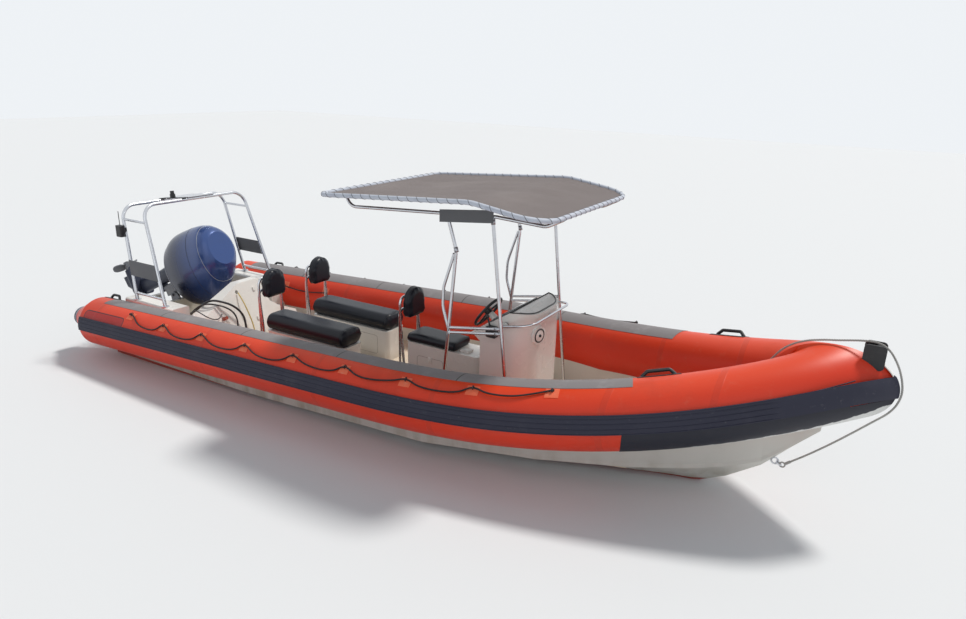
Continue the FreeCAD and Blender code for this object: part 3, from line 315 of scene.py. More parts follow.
# Along is the place on the tube in metres, Lift the angle above its middle in degrees, and Off the
# distance from its centreline, for paint that follows the tube. Outside is 1 on its outboard half.
tube_lines, _, tube_out = new_group(
    "tube_lines", [], [("Along", "Float"), ("Lift", "Float"), ("Off", "Float"), ("Outside", "Float")])
place = add(tube_lines, "ShaderNodeTexCoord").outputs["Object"]
axes = add(tube_lines, "ShaderNodeSeparateXYZ", {0: place}).outputs
ahead = math_node(tube_lines, "MAXIMUM", math_node(tube_lines, "SUBTRACT", axes["X"], sheer_x), 0.0)
lifted = math_node(tube_lines, "DIVIDE", ahead, nose_x - sheer_x)
lifted = math_node(tube_lines, "POWER", lifted, sheer_power)
middle = math_node(tube_lines, "MULTIPLY_ADD", axes["X"], tube_trim, tube_z)
middle = math_node(tube_lines, "MULTIPLY_ADD", lifted, sheer, middle)
height = math_node(tube_lines, "SUBTRACT", axes["Z"], middle)
bent = math_node(tube_lines, "MAXIMUM", math_node(tube_lines, "SUBTRACT", axes["X"], bend_x), 0.0)
bent = math_node(tube_lines, "POWER", math_node(tube_lines, "DIVIDE", bent, nose_x - bend_x), bend_power)
half_breadth = math_node(tube_lines, "POWER", math_node(tube_lines, "SUBTRACT", 1.0, bent), 1 / bend_root)
half_breadth = math_node(tube_lines, "MULTIPLY", half_breadth, tube_y)
aside = math_node(tube_lines, "SUBTRACT", math_node(tube_lines, "ABSOLUTE", axes["Y"]), half_breadth)
aside_square = math_node(tube_lines, "MULTIPLY", aside, aside)
off_square = math_node(tube_lines, "MULTIPLY_ADD", height, height, aside_square)
off = math_node(tube_lines, "SQRT", off_square)
sine = math_node(tube_lines, "DIVIDE", height, tube_radius)
sine = math_node(tube_lines, "MINIMUM", math_node(tube_lines, "MAXIMUM", sine, -1.0), 1.0)
lift = math_node(tube_lines, "DEGREES", math_node(tube_lines, "ARCSINE", sine))
tube_lines.links.new(axes["X"], tube_out.inputs["Along"])
tube_lines.links.new(lift, tube_out.inputs["Lift"])
tube_lines.links.new(off, tube_out.inputs["Off"])
tube_lines.links.new(math_node(tube_lines, "GREATER_THAN", aside, 0.0), tube_out.inputs["Outside"])

tube_orange, tree, shader = new_material("tube_orange", 0.46, Specular_IOR_Level=0.35)
lines = use_group(tree, tube_lines).outputs
laps = 0.0
for lap in lap_places:
    distance = math_node(tree, "ABSOLUTE", math_node(tree, "SUBTRACT", lines["Along"], lap))
    laps = math_node(tree, "ADD", laps, span(tree, distance, lap_width, lap_width + 0.003, 1.0, 0.0))
# The top of each tube is painted a lighter orange than its sides: painted sunlight on the top and painted
# shade on the sides.
sunlit_top_share = span(tree, lines["Lift"], 20.0, 85.0, 0.0, 0.35, smooth=True)
base = mix_colour(tree, sunlit_top_share, (0.70, 0.040, 0.012, 1), (0.90, 0.105, 0.020, 1))
worn = grimed(tree, base, (0.40, 0.045, 0.022), 0.55, 1.6, 0.48)
salted = grimed(tree, worn["Color"], (0.62, 0.17, 0.10), 0.28, 9.0, 0.55)
lap_share = math_node(tree, "MULTIPLY", laps, 0.22)
lap_shade = mix_colour(tree, lap_share, salted["Color"], (0.42, 0.04, 0.02, 1))


# A bare dark red patch with a thin black outline lies on each side at the stern, where such boats
# carry lettering.
def rounded_patch(tree, along, lift, middle, half):
    beside = math_node(tree, "ABSOLUTE", math_node(tree, "SUBTRACT", along, middle[0]))
    above = math_node(tree, "ABSOLUTE", math_node(tree, "SUBTRACT", lift, middle[1]))
    above = math_node(tree, "MULTIPLY", above, math.radians(tube_radius))
    corner = 0.8 * half[1]
    beside = math_node(tree, "MAXIMUM", math_node(tree, "SUBTRACT", beside, half[0] - corner), 0.0)
    above = math_node(tree, "MAXIMUM", math_node(tree, "SUBTRACT", above, half[1] - corner), 0.0)
    squares = math_node(tree, "MULTIPLY_ADD", above, above, math_node(tree, "MULTIPLY", beside, beside))
    return math_node(tree, "SUBTRACT", math_node(tree, "SQRT", squares), corner)


patch_middle, patch_half = (0.35, 33.0), (0.345, 0.062)
from_edge = rounded_patch(tree, lines["Along"], lines["Lift"], patch_middle, patch_half)
inside = math_node(tree, "MULTIPLY", span(tree, from_edge, -0.001, 0.001, 1.0, 0.0), lines["Outside"])
outline = math_node(tree, "MULTIPLY", inside, span(tree, from_edge, -0.011, -0.009))
inside = math_node(tree, "MULTIPLY", inside, 0.92)
patched = mix_colour(tree, inside, lap_shade, (0.40, 0.018, 0.016, 1))
patched = mix_colour(tree, outline, patched, (0.03, 0.012, 0.018, 1))
tree.links.new(patched, shader.inputs["Base Color"])
tree.links.new(span(tree, worn["Mask"], 0.0, 0.5, 0.40, 0.58), shader.inputs["Roughness"])
weave = use_group(tree, grain, Scale=260.0, Strength=0.10, Depth=0.001)
place = add(tree, "ShaderNodeTexCoord").outputs["Object"]
slack = add(tree, "ShaderNodeTexNoise", {"Vector": place, "Scale": 2.2})
body_height = math_node(tree, "MULTIPLY_ADD", slack.outputs["Fac"], 1.6, laps)
relief = add(tree, "ShaderNodeBump", {"Strength": 0.5, "Distance": 0.0016, "Height": body_height,
                                      "Normal": weave.outputs["Normal"]})
tree.links.new(relief.outputs["Normal"], shader.inputs["Normal"])
paint(tube_orange, "starboard_tube", "port_tube", "stern_cones")


# Cone rings: a grey ring is welded round the tip of the cone that closes each tube at the stern.
# It is a round bead of coated fabric, swept round the tip.
cone_tip_x, cone_tip_radius, cone_ring_radius = -0.392, 0.112, 0.008
cone_grey, tree, shader = new_material("cone_grey", 0.5)
weathered(tree, shader, (0.36, 0.40, 0.46), (0.2, 0.2, 0.22), 0.6, 12.0)


def sweep(mesh_maker, points, radius, sides, closed=False):
    rings = []
    count = len(points)
    normal = None
    for k, point in enumerate(points):
        ahead = points[(k + 1) % count] if closed else points[min(k + 1, count - 1)]
        behind = points[k - 1] if closed or k else points[0]
        along = (ahead - behind).normalized()
        if normal is None:
            normal = along.orthogonal().normalized()
        normal = (normal - along * normal.dot(along)).normalized()
        across = along.cross(normal)
        ring = []
        for s in range(sides):
            angle = 2 * math.pi * s / sides
            spoke = math.cos(angle) * normal + math.sin(angle) * across
            ring.append(mesh_maker.verts.new(point + radius * spoke))
        rings.append(ring)
    pairs = list(zip(rings, rings[1:]))
    if closed:
        start = rings[0]
        last = rings[-1]
        shift = min(range(sides), key=lambda s: (start[s].co - last[0].co).length)
        pairs.append((last, start[shift:] + start[:shift]))
    for a, b in pairs:
        for s in range(sides):
            mesh_maker.faces.new((a[s], a[(s + 1) % sides], b[(s + 1) % sides], b[s]))
    if not closed:
        mesh_maker.faces.new(list(reversed(rings[0])))
        mesh_maker.faces.new(rings[-1])


def mesh_piece(name, mesh_maker, material, body="boat", smooth=True):
    data = bpy.data.meshes.new(name)
    bmesh.ops.recalc_face_normals(mesh_maker, faces=mesh_maker.faces)
    mesh_maker.to_mesh(data)
    mesh_maker.free()
    for face in data.polygons:
        face.use_smooth = smooth
    data.materials.append(material)
    obj = bpy.data.objects.new(name, data)
    bpy.context.scene.collection.objects.link(obj)
    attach(obj, body)
    return obj


maker = bmesh.new()
for sign in (-1, 1):
    middle = Vector((cone_tip_x, sign * tube_y, run_z(cone_tip_x)))
    around = [2 * math.pi * k / 48 for k in range(48)]
    tip = [middle + cone_tip_radius * Vector((0, math.cos(t), math.sin(t))) for t in around]
    sweep(maker, tip, cone_ring_radius, 8, closed=True)
mesh_piece("cone_rings", maker, cone_grey)


# Strake: the wide navy rubber fender along both tubes, extruded with shallow ribs and glued on.
# The bow patch under it is the same rubber, scraped white where it meets the quay.
navy_rubber, tree, shader = new_material("navy_rubber", 0.62)
worn = grimed(tree, (0.010, 0.011, 0.030), (0.050, 0.048, 0.070), 0.5, 3.0)
scuffed = grimed(tree, worn["Color"], (0.20, 0.19, 0.20), 0.5, 26.0, 0.60)
tree.links.new(scuffed["Color"], shader.inputs["Base Color"])
textured(tree, shader, 220.0, 0.2, 0.001)
paint(navy_rubber, "rubbing_strakes", "cone_caps")

strake_rim = tube_radius + 0.0143
rib_angles = (-4.6, 3.2, 11.5, 19.0, 24.2)
rib_radius = 0.0042
strake_start, strake_end, rib_steps = -0.05, 7.31, 120
for side, sign in (("starboard", 1), ("port", -1)):
    maker = bmesh.new()
    for rib_angle in rib_angles:
        places = [strake_start + (strake_end - strake_start) * k / rib_steps for k in range(rib_steps + 1)]
        sweep(maker, [on_tube(x, rib_angle, strake_rim, sign) for x in places], rib_radius, 6)
    mesh_piece(side + "_strake_ribs", maker, navy_rubber)

bow_rubber, tree, shader = new_material("bow_rubber", 0.6)
lines = use_group(tree, tube_lines).outputs
worn = grimed(tree, (0.007, 0.008, 0.018), (0.03, 0.03, 0.042), 0.5, 4.0)
ragged = add(tree, "ShaderNodeTexNoise", {"Vector": add(tree, "ShaderNodeTexCoord").outputs["Object"],
                                          "Scale": 11.0, "Detail": 8.0}).outputs["Fac"]
scrape_edge = math_node(tree, "MULTIPLY_ADD", ragged, 34.0, -80.0)
scraped = span(tree, math_node(tree, "SUBTRACT", scrape_edge, lines["Lift"]), -1.0, 3.0)
scraped = math_node(tree, "MULTIPLY", scraped, span(tree, lines["Along"], 6.2, 6.8))
shown = mix_colour(tree, scraped, worn["Color"], (0.70, 0.70, 0.68, 1))
tree.links.new(shown, shader.inputs["Base Color"])
textured(tree, shader, 220.0, 0.2, 0.001)
paint(bow_rubber, "bow_patches")


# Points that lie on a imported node's surface, for strips, lines and rims drawn over it.
def cling(points, node, lift=0.0):
    obj = nodes[node]
    to_local = obj.matrix_world.inverted()
    turned = obj.matrix_world.to_3x3()
    placed = []
    for point in points:
        place, normal = obj.closest_point_on_mesh(to_local @ point)[1:3]
        placed.append(obj.matrix_world @ place + lift * (turned @ normal))
    return placed


# A thin strip of the same rubber runs on the tube below each strake, so that no fabric shows
# between the strake and the patch.
strip_from, strip_to, strip_low, strip_high, strip_lift = 6.004, 7.30, -26.0, -2.0, 0.0025
strip_angles = [strip_low + (strip_high - strip_low) * j / 16 for j in range(17)]
for side, sign in (("starboard", 1), ("port", -1)):
    maker = bmesh.new()
    grid = []
    for k in range(66):
        x = strip_from + (strip_to - strip_from) * k / 65
        row = [on_tube(x, degrees, tube_radius, sign) for degrees in strip_angles]
        grid.append([maker.verts.new(p) for p in cling(row, side + "_tube", strip_lift)])
    for a, b in zip(grid, grid[1:]):
        for j in range(16):
            maker.faces.new((a[j], b[j], b[j + 1], a[j + 1]))
    mesh_piece(side + "_bow_strip", maker, bow_rubber)


# Tube top pads: taupe non-slip rubber strips with fine ribs across, cut in lengths and glued on top
# of both tubes, so that people can step and sit there.
pad_joints, pad_joint_half, pad_rib_pitch = (1.15, 2.35, 3.55, 4.75), 0.003, 0.012
pad_rubber, tree, shader = new_material("pad_rubber", 0.72)
lines = use_group(tree, tube_lines).outputs
worn = grimed(tree, (0.225, 0.210, 0.215), (0.38, 0.37, 0.38), 0.6, 5.0)
cut = 0.0
for joint in pad_joints:
    distance = math_node(tree, "ABSOLUTE", math_node(tree, "SUBTRACT", lines["Along"], joint))
    gap = span(tree, distance, pad_joint_half, 2 * pad_joint_half, 1.0, 0.0)
    cut = math_node(tree, "ADD", cut, gap)
cut_line = mix_colour(tree, cut, worn["Color"], (0.05, 0.045, 0.045, 1))
tree.links.new(cut_line, shader.inputs["Base Color"])
ribs = math_node(tree, "SINE", math_node(tree, "MULTIPLY", lines["Along"], 2 * math.pi / pad_rib_pitch))
relief = add(tree, "ShaderNodeBump", {"Strength": 0.35, "Distance": 0.0012, "Height": ribs})
tree.links.new(relief.outputs["Normal"], shader.inputs["Normal"])
paint(pad_rubber, "tube_top_pads")


# Lifelines: black braided rope of 14 mm along both tubes, run through nine tabs a side and hanging
# in shallow swags between them, knotted at its ends.
lifeline_radius = 0.007
lifeline_route = [(0.734, -1.197, 0.671), (0.786, -1.197, 0.673), (0.94, -1.271, 0.614),
                  (1.12, -1.285, 0.601), (1.24, -1.277, 0.617), (1.294, -1.229, 0.67),
                  (1.346, -1.229, 0.672), (1.48, -1.28, 0.623), (1.67, -1.291, 0.614),
                  (1.82, -1.277, 0.641), (1.874, -1.229, 0.693), (1.926, -1.229, 0.695),
                  (2.08, -1.28, 0.647), (2.28, -1.288, 0.642), (2.42, -1.274, 0.669),
                  (2.484, -1.229, 0.717), (2.536, -1.229, 0.719), (2.68, -1.277, 0.675),
                  (2.88, -1.286, 0.671), (3.03, -1.268, 0.701), (3.094, -1.221, 0.748),
                  (3.146, -1.221, 0.75), (3.27, -1.258, 0.722), (3.45, -1.271, 0.714),
                  (3.62, -1.261, 0.732), (3.694, -1.213, 0.778), (3.746, -1.213, 0.78),
                  (3.87, -1.255, 0.75), (4.03, -1.255, 0.752), (4.22, -1.227, 0.781),
                  (4.317, -1.189, 0.808), (4.37, -1.186, 0.81), (4.478, -1.212, 0.788),
                  (4.664, -1.2, 0.79), (4.828, -1.167, 0.81), (4.902, -1.106, 0.849),
                  (4.955, -1.097, 0.853), (5.052, -1.114, 0.839), (5.241, -1.083, 0.85),
                  (5.4, -1.019, 0.886), (5.53, -0.944, 0.925)]
grab_line_route = [(0.96, 0.787, 0.549), (1.12, 0.777, 0.538), (1.29, 0.774, 0.537),
                   (1.46, 0.777, 0.549), (1.63, 0.787, 0.575)]

rope_black, tree, shader = new_material("rope_black", 0.85)
shader.inputs["Base Color"].default_value = (0.016, 0.015, 0.017, 1)
place = add(tree, "ShaderNodeTexCoord").outputs["Object"]
plaits = {"Vector": place, "Scale": 55.0, "Distortion": 2.0}
braid = add(tree, "ShaderNodeTexWave", plaits, bands_direction="DIAGONAL").outputs["Fac"]
braid_relief = add(tree, "ShaderNodeBump", {"Strength": 0.7, "Distance": 0.002, "Height": braid})
tree.links.new(braid_relief.outputs["Normal"], shader.inputs["Normal"])


def route_curve(name, route, radius=0.0):
    data = bpy.data.curves.new(name, "CURVE")
    data.dimensions = "3D"
    data.resolution_u = 10
    data.bevel_depth = radius
    data.bevel_resolution = 4
    data.use_fill_caps = True
    line = data.splines.new("NURBS")
    line.points.add(len(route) - 1)
    for point, (x, y, z) in zip(line.points, route):
        point.co = (x, y, z, 1)
    line.order_u = 3
    line.use_endpoint_u = True
    obj = bpy.data.objects.new(name, data)
    bpy.context.scene.collection.objects.link(obj)
    return obj


def route_points(route):
    guide = route_curve("guide", route)
    mesh = bpy.data.meshes.new_from_object(guide)
    points = [vertex.co.copy() for vertex in mesh.vertices]
    bpy.data.objects.remove(guide)
    return points


def run_length(points):
    return sum((b - a).length for a, b in zip(points, points[1:]))


def lay_cord(name, node, route, radius, material):
    piece = route_curve(name, route, radius)
    piece.data.materials.append(material)
    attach(piece, "boat")
    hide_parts(node)
    run_length(route_points(route))
    return piece


for side, sign in (("starboard", 1), ("port", -1)):
    line = [(x, y * sign, z) for x, y, z in lifeline_route]
    lay_cord(side + "_lifeline_rope", side + "_lifeline", line, lifeline_radius, rope_black)
grab_line_radius = 0.006
lay_cord("inner_grab_rope", "inner_grab_line", grab_line_route, grab_line_radius, rope_black)


# Lifeline tabs: small patches of the tubes' own fabric, nine glued along the outer side of each
# tube, with a black loop that holds the line.
tab_fabric, tree, shader = new_material("tab_fabric", 0.6)
lines = use_group(tree, tube_lines).outputs
loop = span(tree, lines["Off"], tube_radius + 0.0045, tube_radius + 0.0055)
worn = grimed(tree, (0.86, 0.15, 0.065), (0.75, 0.42, 0.30), 0.6, 22.0)
looped = mix_colour(tree, loop, worn["Color"], (0.02, 0.02, 0.024, 1))
tree.links.new(looped, shader.inputs["Base Color"])
paint(tab_fabric, "line_tabs")


# Each end of a lifeline is stopped by a knot behind its last tab: an overhand knot, pulled small.
knot_radius, knot_steps = 0.012, 36
overhand = []
for k in range(knot_steps):
    t = 2 * math.pi * k / knot_steps
    overhand.append(0.5 * knot_radius * Vector((0.9 * math.sin(t) + 1.1 * math.sin(2 * t),
                                                0.9 * math.cos(t) - 1.1 * math.cos(2 * t),
                                                -0.8 * math.sin(3 * t))))
for side, sign in (("starboard", 1), ("port", -1)):
    maker = bmesh.new()
    for x, y, z in (lifeline_route[0], lifeline_route[-1]):
        knot = [Vector((x, y * sign, z)) + point for point in overhand]
        sweep(maker, knot, 0.6 * lifeline_radius, 6, closed=True)
    mesh_piece(side + "_lifeline_knots", maker, rope_black)


# Painter: grey three-strand rope from the post inside the bow, over the roller, down outside the
# nose and back to the shackle under the stem. Its strands are laid round the route, as rope is.
painter_radius = 0.008
painter_route = [(6.736, 0, 0.985), (6.775, 0.002, 1.015), (6.84, 0.003, 1.088), (6.9, 0.006, 1.18),
                 (6.95, 0.008, 1.259), (7.02, 0.006, 1.324), (7.112, 0.003, 1.372), (7.217, 0, 1.401),
                 (7.335, -0.002, 1.421), (7.45, -0.001, 1.446), (7.56, 0.001, 1.457),
                 (7.64, 0.001, 1.425), (7.707, 0.001, 1.337), (7.757, 0.002, 1.225),
                 (7.783, 0.004, 1.098), (7.742, 0.003, 0.966), (7.632, 0, 0.85), (7.523, -0.003, 0.733),
                 (7.414, -0.003, 0.619), (7.308, 0, 0.514), (7.223, 0.001, 0.435), (7.154, 0, 0.376)]

rope_grey, tree, shader = new_material("rope_grey", 0.9)
weathered(tree, shader, (0.42, 0.41, 0.39), (0.16, 0.15, 0.13), 0.7, 9.0)
textured(tree, shader, 900.0, 0.5, 0.001)


def wind_strands(points, radius, strands, lay_length, steps_per_turn=9):
    length = run_length(points)
    steps = int(length / lay_length * steps_per_turn)
    marks = [0.0]
    for a, b in zip(points, points[1:]):
        marks.append(marks[-1] + (b - a).length)
    frames = []
    normal = None
    k = 0
    for i in range(steps + 1):
        distance = length * i / steps
        while k < len(marks) - 2 and marks[k + 1] < distance:
            k += 1
        share = (distance - marks[k]) / (marks[k + 1] - marks[k])
        along = (points[k + 1] - points[k]).normalized()
        if normal is None:
            normal = along.orthogonal().normalized()
        normal = (normal - along * normal.dot(along)).normalized()
        frames.append((points[k].lerp(points[k + 1], share), normal.copy(), along.cross(normal), distance))
    lines = []
    for s in range(strands):
        line = []
        for point, normal, across, distance in frames:
            angle = 2 * math.pi * (distance / lay_length + s / strands)
            line.append(point + radius * (math.cos(angle) * normal + math.sin(angle) * across))
        lines.append(line)
    return lines


painter_line = route_points(painter_route)
painter_strands, painter_lay = 3, 0.05
maker = bmesh.new()
for strand in wind_strands(painter_line, 0.52 * painter_radius, painter_strands, painter_lay):
    sweep(maker, strand, 0.5 * painter_radius, 6)
painter_rope = mesh_piece("painter_rope", maker, rope_grey)
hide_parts("painter")
paint(rope_grey, "painter_splice")


# Stern frame: two hoops of polished stainless tube on the plinths, with short rungs, a plate on
# top, grey side panels, a small lamp and a boxed aerial on the starboard leg.
steel_tube, tree, shader = new_material("steel_tube", 0.3, Metallic=1.0)
worn = weathered(tree, shader, (0.60, 0.61, 0.64), (0.36, 0.34, 0.33), 0.55, 9.0)
tree.links.new(span(tree, worn["Mask"], 0.0, 0.5, 0.22, 0.5), shader.inputs["Roughness"])
paint(steel_tube, "a_frame", "aframe_top_plate", "backrest_hoops", "console_rail", "canopy_frame",
      "bow_eye", "bow_shackle", "bow_post")

panel_grey, tree, shader = new_material("panel_grey", 0.55)
weathered(tree, shader, (0.115, 0.12, 0.13), (0.24, 0.23, 0.22), 0.5, 6.0)
paint(panel_grey, "aframe_panels", "blank_plate")

black_plastic, tree, shader = new_material("black_plastic", 0.45)
weathered(tree, shader, (0.014, 0.014, 0.016), (0.07, 0.07, 0.07), 0.5, 16.0)
textured(tree, shader, 350.0, 0.2, 0.0008)
paint(black_plastic, "stern_light", "aerial_unit", "steering_wheel", "throttle", "bow_fairlead",
      "stern_handles", "bow_handles", "console_fitting", "hose_gland")

fitting_brown, tree, shader = new_material("fitting_brown", 0.3)
weathered(tree, shader, (0.30, 0.055, 0.03), (0.1, 0.03, 0.02), 0.6, 20.0)
paint(fitting_brown, "hose_connector")


# Outboard: a big four-stroke under a metallic blue cowl of moulded plastic, tilted up. Its leg and
# gearcase are cast and painted dark, and the brackets that clamp it to the transom are bare alloy.
motor_blue, tree, shader = new_material("motor_blue", 0.26, Metallic=0.25, Coat_Weight=0.35,
                                        Coat_Roughness=0.08)
tilt_pivot, tilt = Vector((-0.070, 0, 0.470)), math.radians(65.0)
axes = add(tree, "ShaderNodeSeparateXYZ", {0: add(tree, "ShaderNodeTexCoord").outputs["Object"]}).outputs
# The cowl's blue is painted lighter towards its top and near black low down: a painted reflection of the
# sky above and of dark water below.
leaning = math_node(tree, "MULTIPLY", math_node(tree, "SUBTRACT", axes["X"], tilt_pivot.x), math.sin(tilt))
raised = math_node(tree, "MULTIPLY", math_node(tree, "SUBTRACT", axes["Z"], tilt_pivot.z), math.cos(tilt))
up_cowl = math_node(tree, "ADD", leaning, raised)
sky_reflection_share = span(tree, up_cowl, 0.35, 0.85, smooth=True)
painted_reflection_blue = mix_colour(tree, sky_reflection_share, (0.012, 0.018, 0.050, 1), (0.030, 0.075, 0.250, 1))
worn = grimed(tree, painted_reflection_blue, (0.050, 0.070, 0.14), 0.5, 2.0)
tree.links.new(worn["Color"], shader.inputs["Base Color"])
paint(motor_blue, "outboard_cowl")
motor_dark, tree, shader = new_material("motor_dark", 0.42, Metallic=0.3)
weathered(tree, shader, (0.020, 0.026, 0.050), (0.075, 0.08, 0.09), 0.5, 5.0)
paint(motor_dark, "outboard_midsection", "outboard_gearcase")
cast_alloy, tree, shader = new_material("cast_alloy", 0.5, Metallic=0.7)
weathered(tree, shader, (0.16, 0.165, 0.18), (0.32, 0.31, 0.29), 0.6, 7.0)
textured(tree, shader, 300.0, 0.3, 0.001)
paint(cast_alloy, "clamp_bracket", "swivel_bracket", "propeller")


# Trim of the cowl: a pale line round its lower rim. Two lines follow the creases moulded round its sides:
# a painted highlight along the upper crease and a painted shade along the lower one. The lines are drawn on
# the upright cowl, tilted with the motor and laid on its surface.
cowl_power = 2.6


def tilted(point):
    dx, dz = point.x - tilt_pivot.x, point.z - tilt_pivot.z
    return Vector((tilt_pivot.x + dx * math.cos(tilt) + dz * math.sin(tilt), point.y,
                   tilt_pivot.z - dx * math.sin(tilt) + dz * math.cos(tilt)))


def cowl_line(height, back, front, half_y, steps=72):
    middle, half_x = (back + front) / 2, (front - back) / 2
    line = []
    for k in range(steps):
        angle = 2 * math.pi * k / steps
        across, along = math.sin(angle), math.cos(angle)
        x = middle + half_x * math.copysign(abs(along) ** (2 / cowl_power), along)
        y = half_y * math.copysign(abs(across) ** (2 / cowl_power), across)
        line.append(tilted(Vector((x, y, height))))
    return line


# The pale material serves the rim trim and the painted highlight on the upper crease, and the dark one is
# the painted shade in the lower crease.
pale_trim_and_highlight = new_material("pale_trim_and_highlight", 0.4, Metallic=0.2, Base_Color=(0.42, 0.44, 0.48, 1))[0]
painted_crease_shade = new_material("painted_crease_shade", 0.5, Base_Color=(0.012, 0.016, 0.035, 1))[0]
cowl_lines = (("cowl_rim_line", 0.694, -0.646, 0.076, 0.233, 0.0035, pale_trim_and_highlight),
              ("cowl_crease_shade_line", 1.200, -0.700, 0.155, 0.247, 0.0026, painted_crease_shade),
              ("cowl_crease_highlight_line", 1.420, -0.648, 0.035, 0.232, 0.0030, pale_trim_and_highlight))
for name, height, back, front, half_y, radius, material in cowl_lines:
    maker = bmesh.new()
    sweep(maker, cling(cowl_line(height, back, front, half_y), "outboard_cowl"), radius, 6, closed=True)
    mesh_piece(name, maker, material, body="motor")


# Rigging hoses: black hoses of three sizes that come forward from a gland on the transom, over the
# locker's shoulder and down its face, and the ochre drain hose that hangs out of the locker's hole.
main_hose_route = [(0.0803, -0.37, 0.47), (0.16, -0.37, 0.47), (0.31, -0.408, 0.438),
                   (0.5, -0.455, 0.425), (0.72, -0.503, 0.46), (0.93, -0.54, 0.57), (1.08, -0.548, 0.68),
                   (1.185, -0.515, 0.732), (1.265, -0.45, 0.712), (1.31, -0.365, 0.665),
                   (1.345, -0.29, 0.59), (1.375, -0.25, 0.5), (1.405, -0.262, 0.4), (1.436, -0.292, 0.3),
                   (1.455, -0.305, 0.204)]
second_hose_route = [(0.0803, -0.41, 0.47), (0.15, -0.41, 0.47), (0.29, -0.44, 0.425),
                     (0.47, -0.49, 0.398), (0.68, -0.54, 0.43), (0.88, -0.568, 0.53),
                     (1.035, -0.6, 0.645), (1.16, -0.575, 0.702), (1.25, -0.515, 0.69),
                     (1.305, -0.44, 0.655), (1.345, -0.372, 0.59), (1.375, -0.348, 0.505),
                     (1.4, -0.372, 0.41), (1.428, -0.4, 0.31), (1.448, -0.408, 0.203)]
thin_hose_route = [(0.0803, -0.445, 0.47), (0.14, -0.445, 0.47), (0.25, -0.48, 0.425),
                   (0.4, -0.53, 0.392), (0.56, -0.565, 0.385), (0.72, -0.578, 0.415),
                   (0.86, -0.578, 0.48), (0.975, -0.622, 0.572), (1.095, -0.682, 0.642),
                   (1.21, -0.712, 0.65), (1.3, -0.69, 0.605), (1.345, -0.62, 0.56),
                   (1.335, -0.545, 0.56), (1.31, -0.497, 0.59)]
drain_hose_route = [(1.22, -0.182, 0.742), (1.272, -0.184, 0.69), (1.325, -0.178, 0.6),
                    (1.365, -0.168, 0.505), (1.4, -0.16, 0.41), (1.435, -0.165, 0.31),
                    (1.452, -0.176, 0.203)]

hose_black, tree, shader = new_material("hose_black", 0.42)
shader.inputs["Base Color"].default_value = (0.012, 0.012, 0.014, 1)
textured(tree, shader, 160.0, 0.12, 0.001)
hose_ochre, tree, shader = new_material("hose_ochre", 0.5)
weathered(tree, shader, (0.58, 0.45, 0.15), (0.2, 0.15, 0.07), 0.6, 12.0)

hoses = (("main_hose", main_hose_route, 0.012, hose_black, "hose_black", "object"),
         ("second_hose", second_hose_route, 0.009, hose_black, "hose_black", "object"),
         ("thin_hose", thin_hose_route, 0.006, hose_black, "hose_black", "connector"),
         ("drain_hose", drain_hose_route, 0.007, hose_ochre, "hose_yellow", "object"))
for node, route, radius, material, slot, far_end in hoses:
    lay_cord(node + "_run", node, route, radius, material)


# Cushions: black vinyl over foam, long bolsters on the rear pods, a flat one for the helm and domed
# backrests. Foam pressure rounds them as cloth, and a welt closes each end where the cover is sewn.
# Each seat has its middle line, aft and fore end, top of the pod, and thickness and corner of the
# cushion.
seats = {"starboard": (-0.330, 1.970, 3.040, 0.540, 0.178, 0.080),
         "port": (0.330, 2.000, 3.080, 0.540, 0.178, 0.080),
         "helm": (0.0, 3.565, 4.150, 0.655, 0.085, 0.038)}
seat_half, cushion_edge = 0.170, 0.030
pad_half, pad_thick, pad_set, pad_low, pad_top = 0.140, 0.100, 0.050, 0.880, 1.180
pad_dome, pad_corner, pad_edge = 0.125, 0.030, 0.024
foam_swell, welt_radius = 0.007, 0.004

vinyl, tree, shader = new_material("vinyl", 0.42, Specular_IOR_Level=0.28)
worn = weathered(tree, shader, (0.011, 0.013, 0.020), (0.045, 0.046, 0.055), 0.4, 3.0)
tree.links.new(span(tree, worn["Mask"], 0.0, 0.4, 0.34, 0.52), shader.inputs["Roughness"])
textured(tree, shader, 420.0, 0.25, 0.0012)


def round_outline(half, low, high, low_corner, top_corner, steps=8):
    outline = []
    corners = ((1, low, low_corner, -90), (1, high, top_corner, 0), (-1, high, top_corner, 90),
               (-1, low, low_corner, 180))
    for side, z, corner, start in corners:
        centre_y = side * (half - corner)
        centre_z = z + corner if z == low else z - corner
        for s in range(steps + 1):
            angle = math.radians(start + 90 * s / steps)
            outline.append((centre_y + corner * math.cos(angle), centre_z + corner * math.sin(angle)))
    return outline


def stuffed_block(name, y, x1, x2, outline, edge):
    maker = bmesh.new()
    back = [maker.verts.new((x1, y + side, z)) for side, z in outline]
    fore = [maker.verts.new((x2, y + side, z)) for side, z in outline]
    count = len(outline)
    maker.faces.new(back)
    maker.faces.new(fore)
    for k in range(count):
        maker.faces.new((back[k], back[(k + 1) % count], fore[(k + 1) % count], fore[k]))
    rims = [e for e in maker.edges if abs(e.verts[0].co.x - e.verts[1].co.x) < 1e-6]
    bmesh.ops.bevel(maker, geom=rims, offset=edge, segments=5, affect="EDGES", profile=0.5)
    bmesh.ops.remove_doubles(maker, verts=maker.verts, dist=0.0004)
    bmesh.ops.recalc_face_normals(maker, faces=maker.faces)
    data = bpy.data.meshes.new(name)
    maker.to_mesh(data)
    maker.free()
    obj = bpy.data.objects.new(name, data)
    bpy.context.scene.collection.objects.link(obj)
    return obj


def bake_modifiers(obj):
    view = bpy.context.evaluated_depsgraph_get()
    mesh = bpy.data.meshes.new_from_object(obj.evaluated_get(view))
    obj.modifiers.clear()
    obj.data = mesh


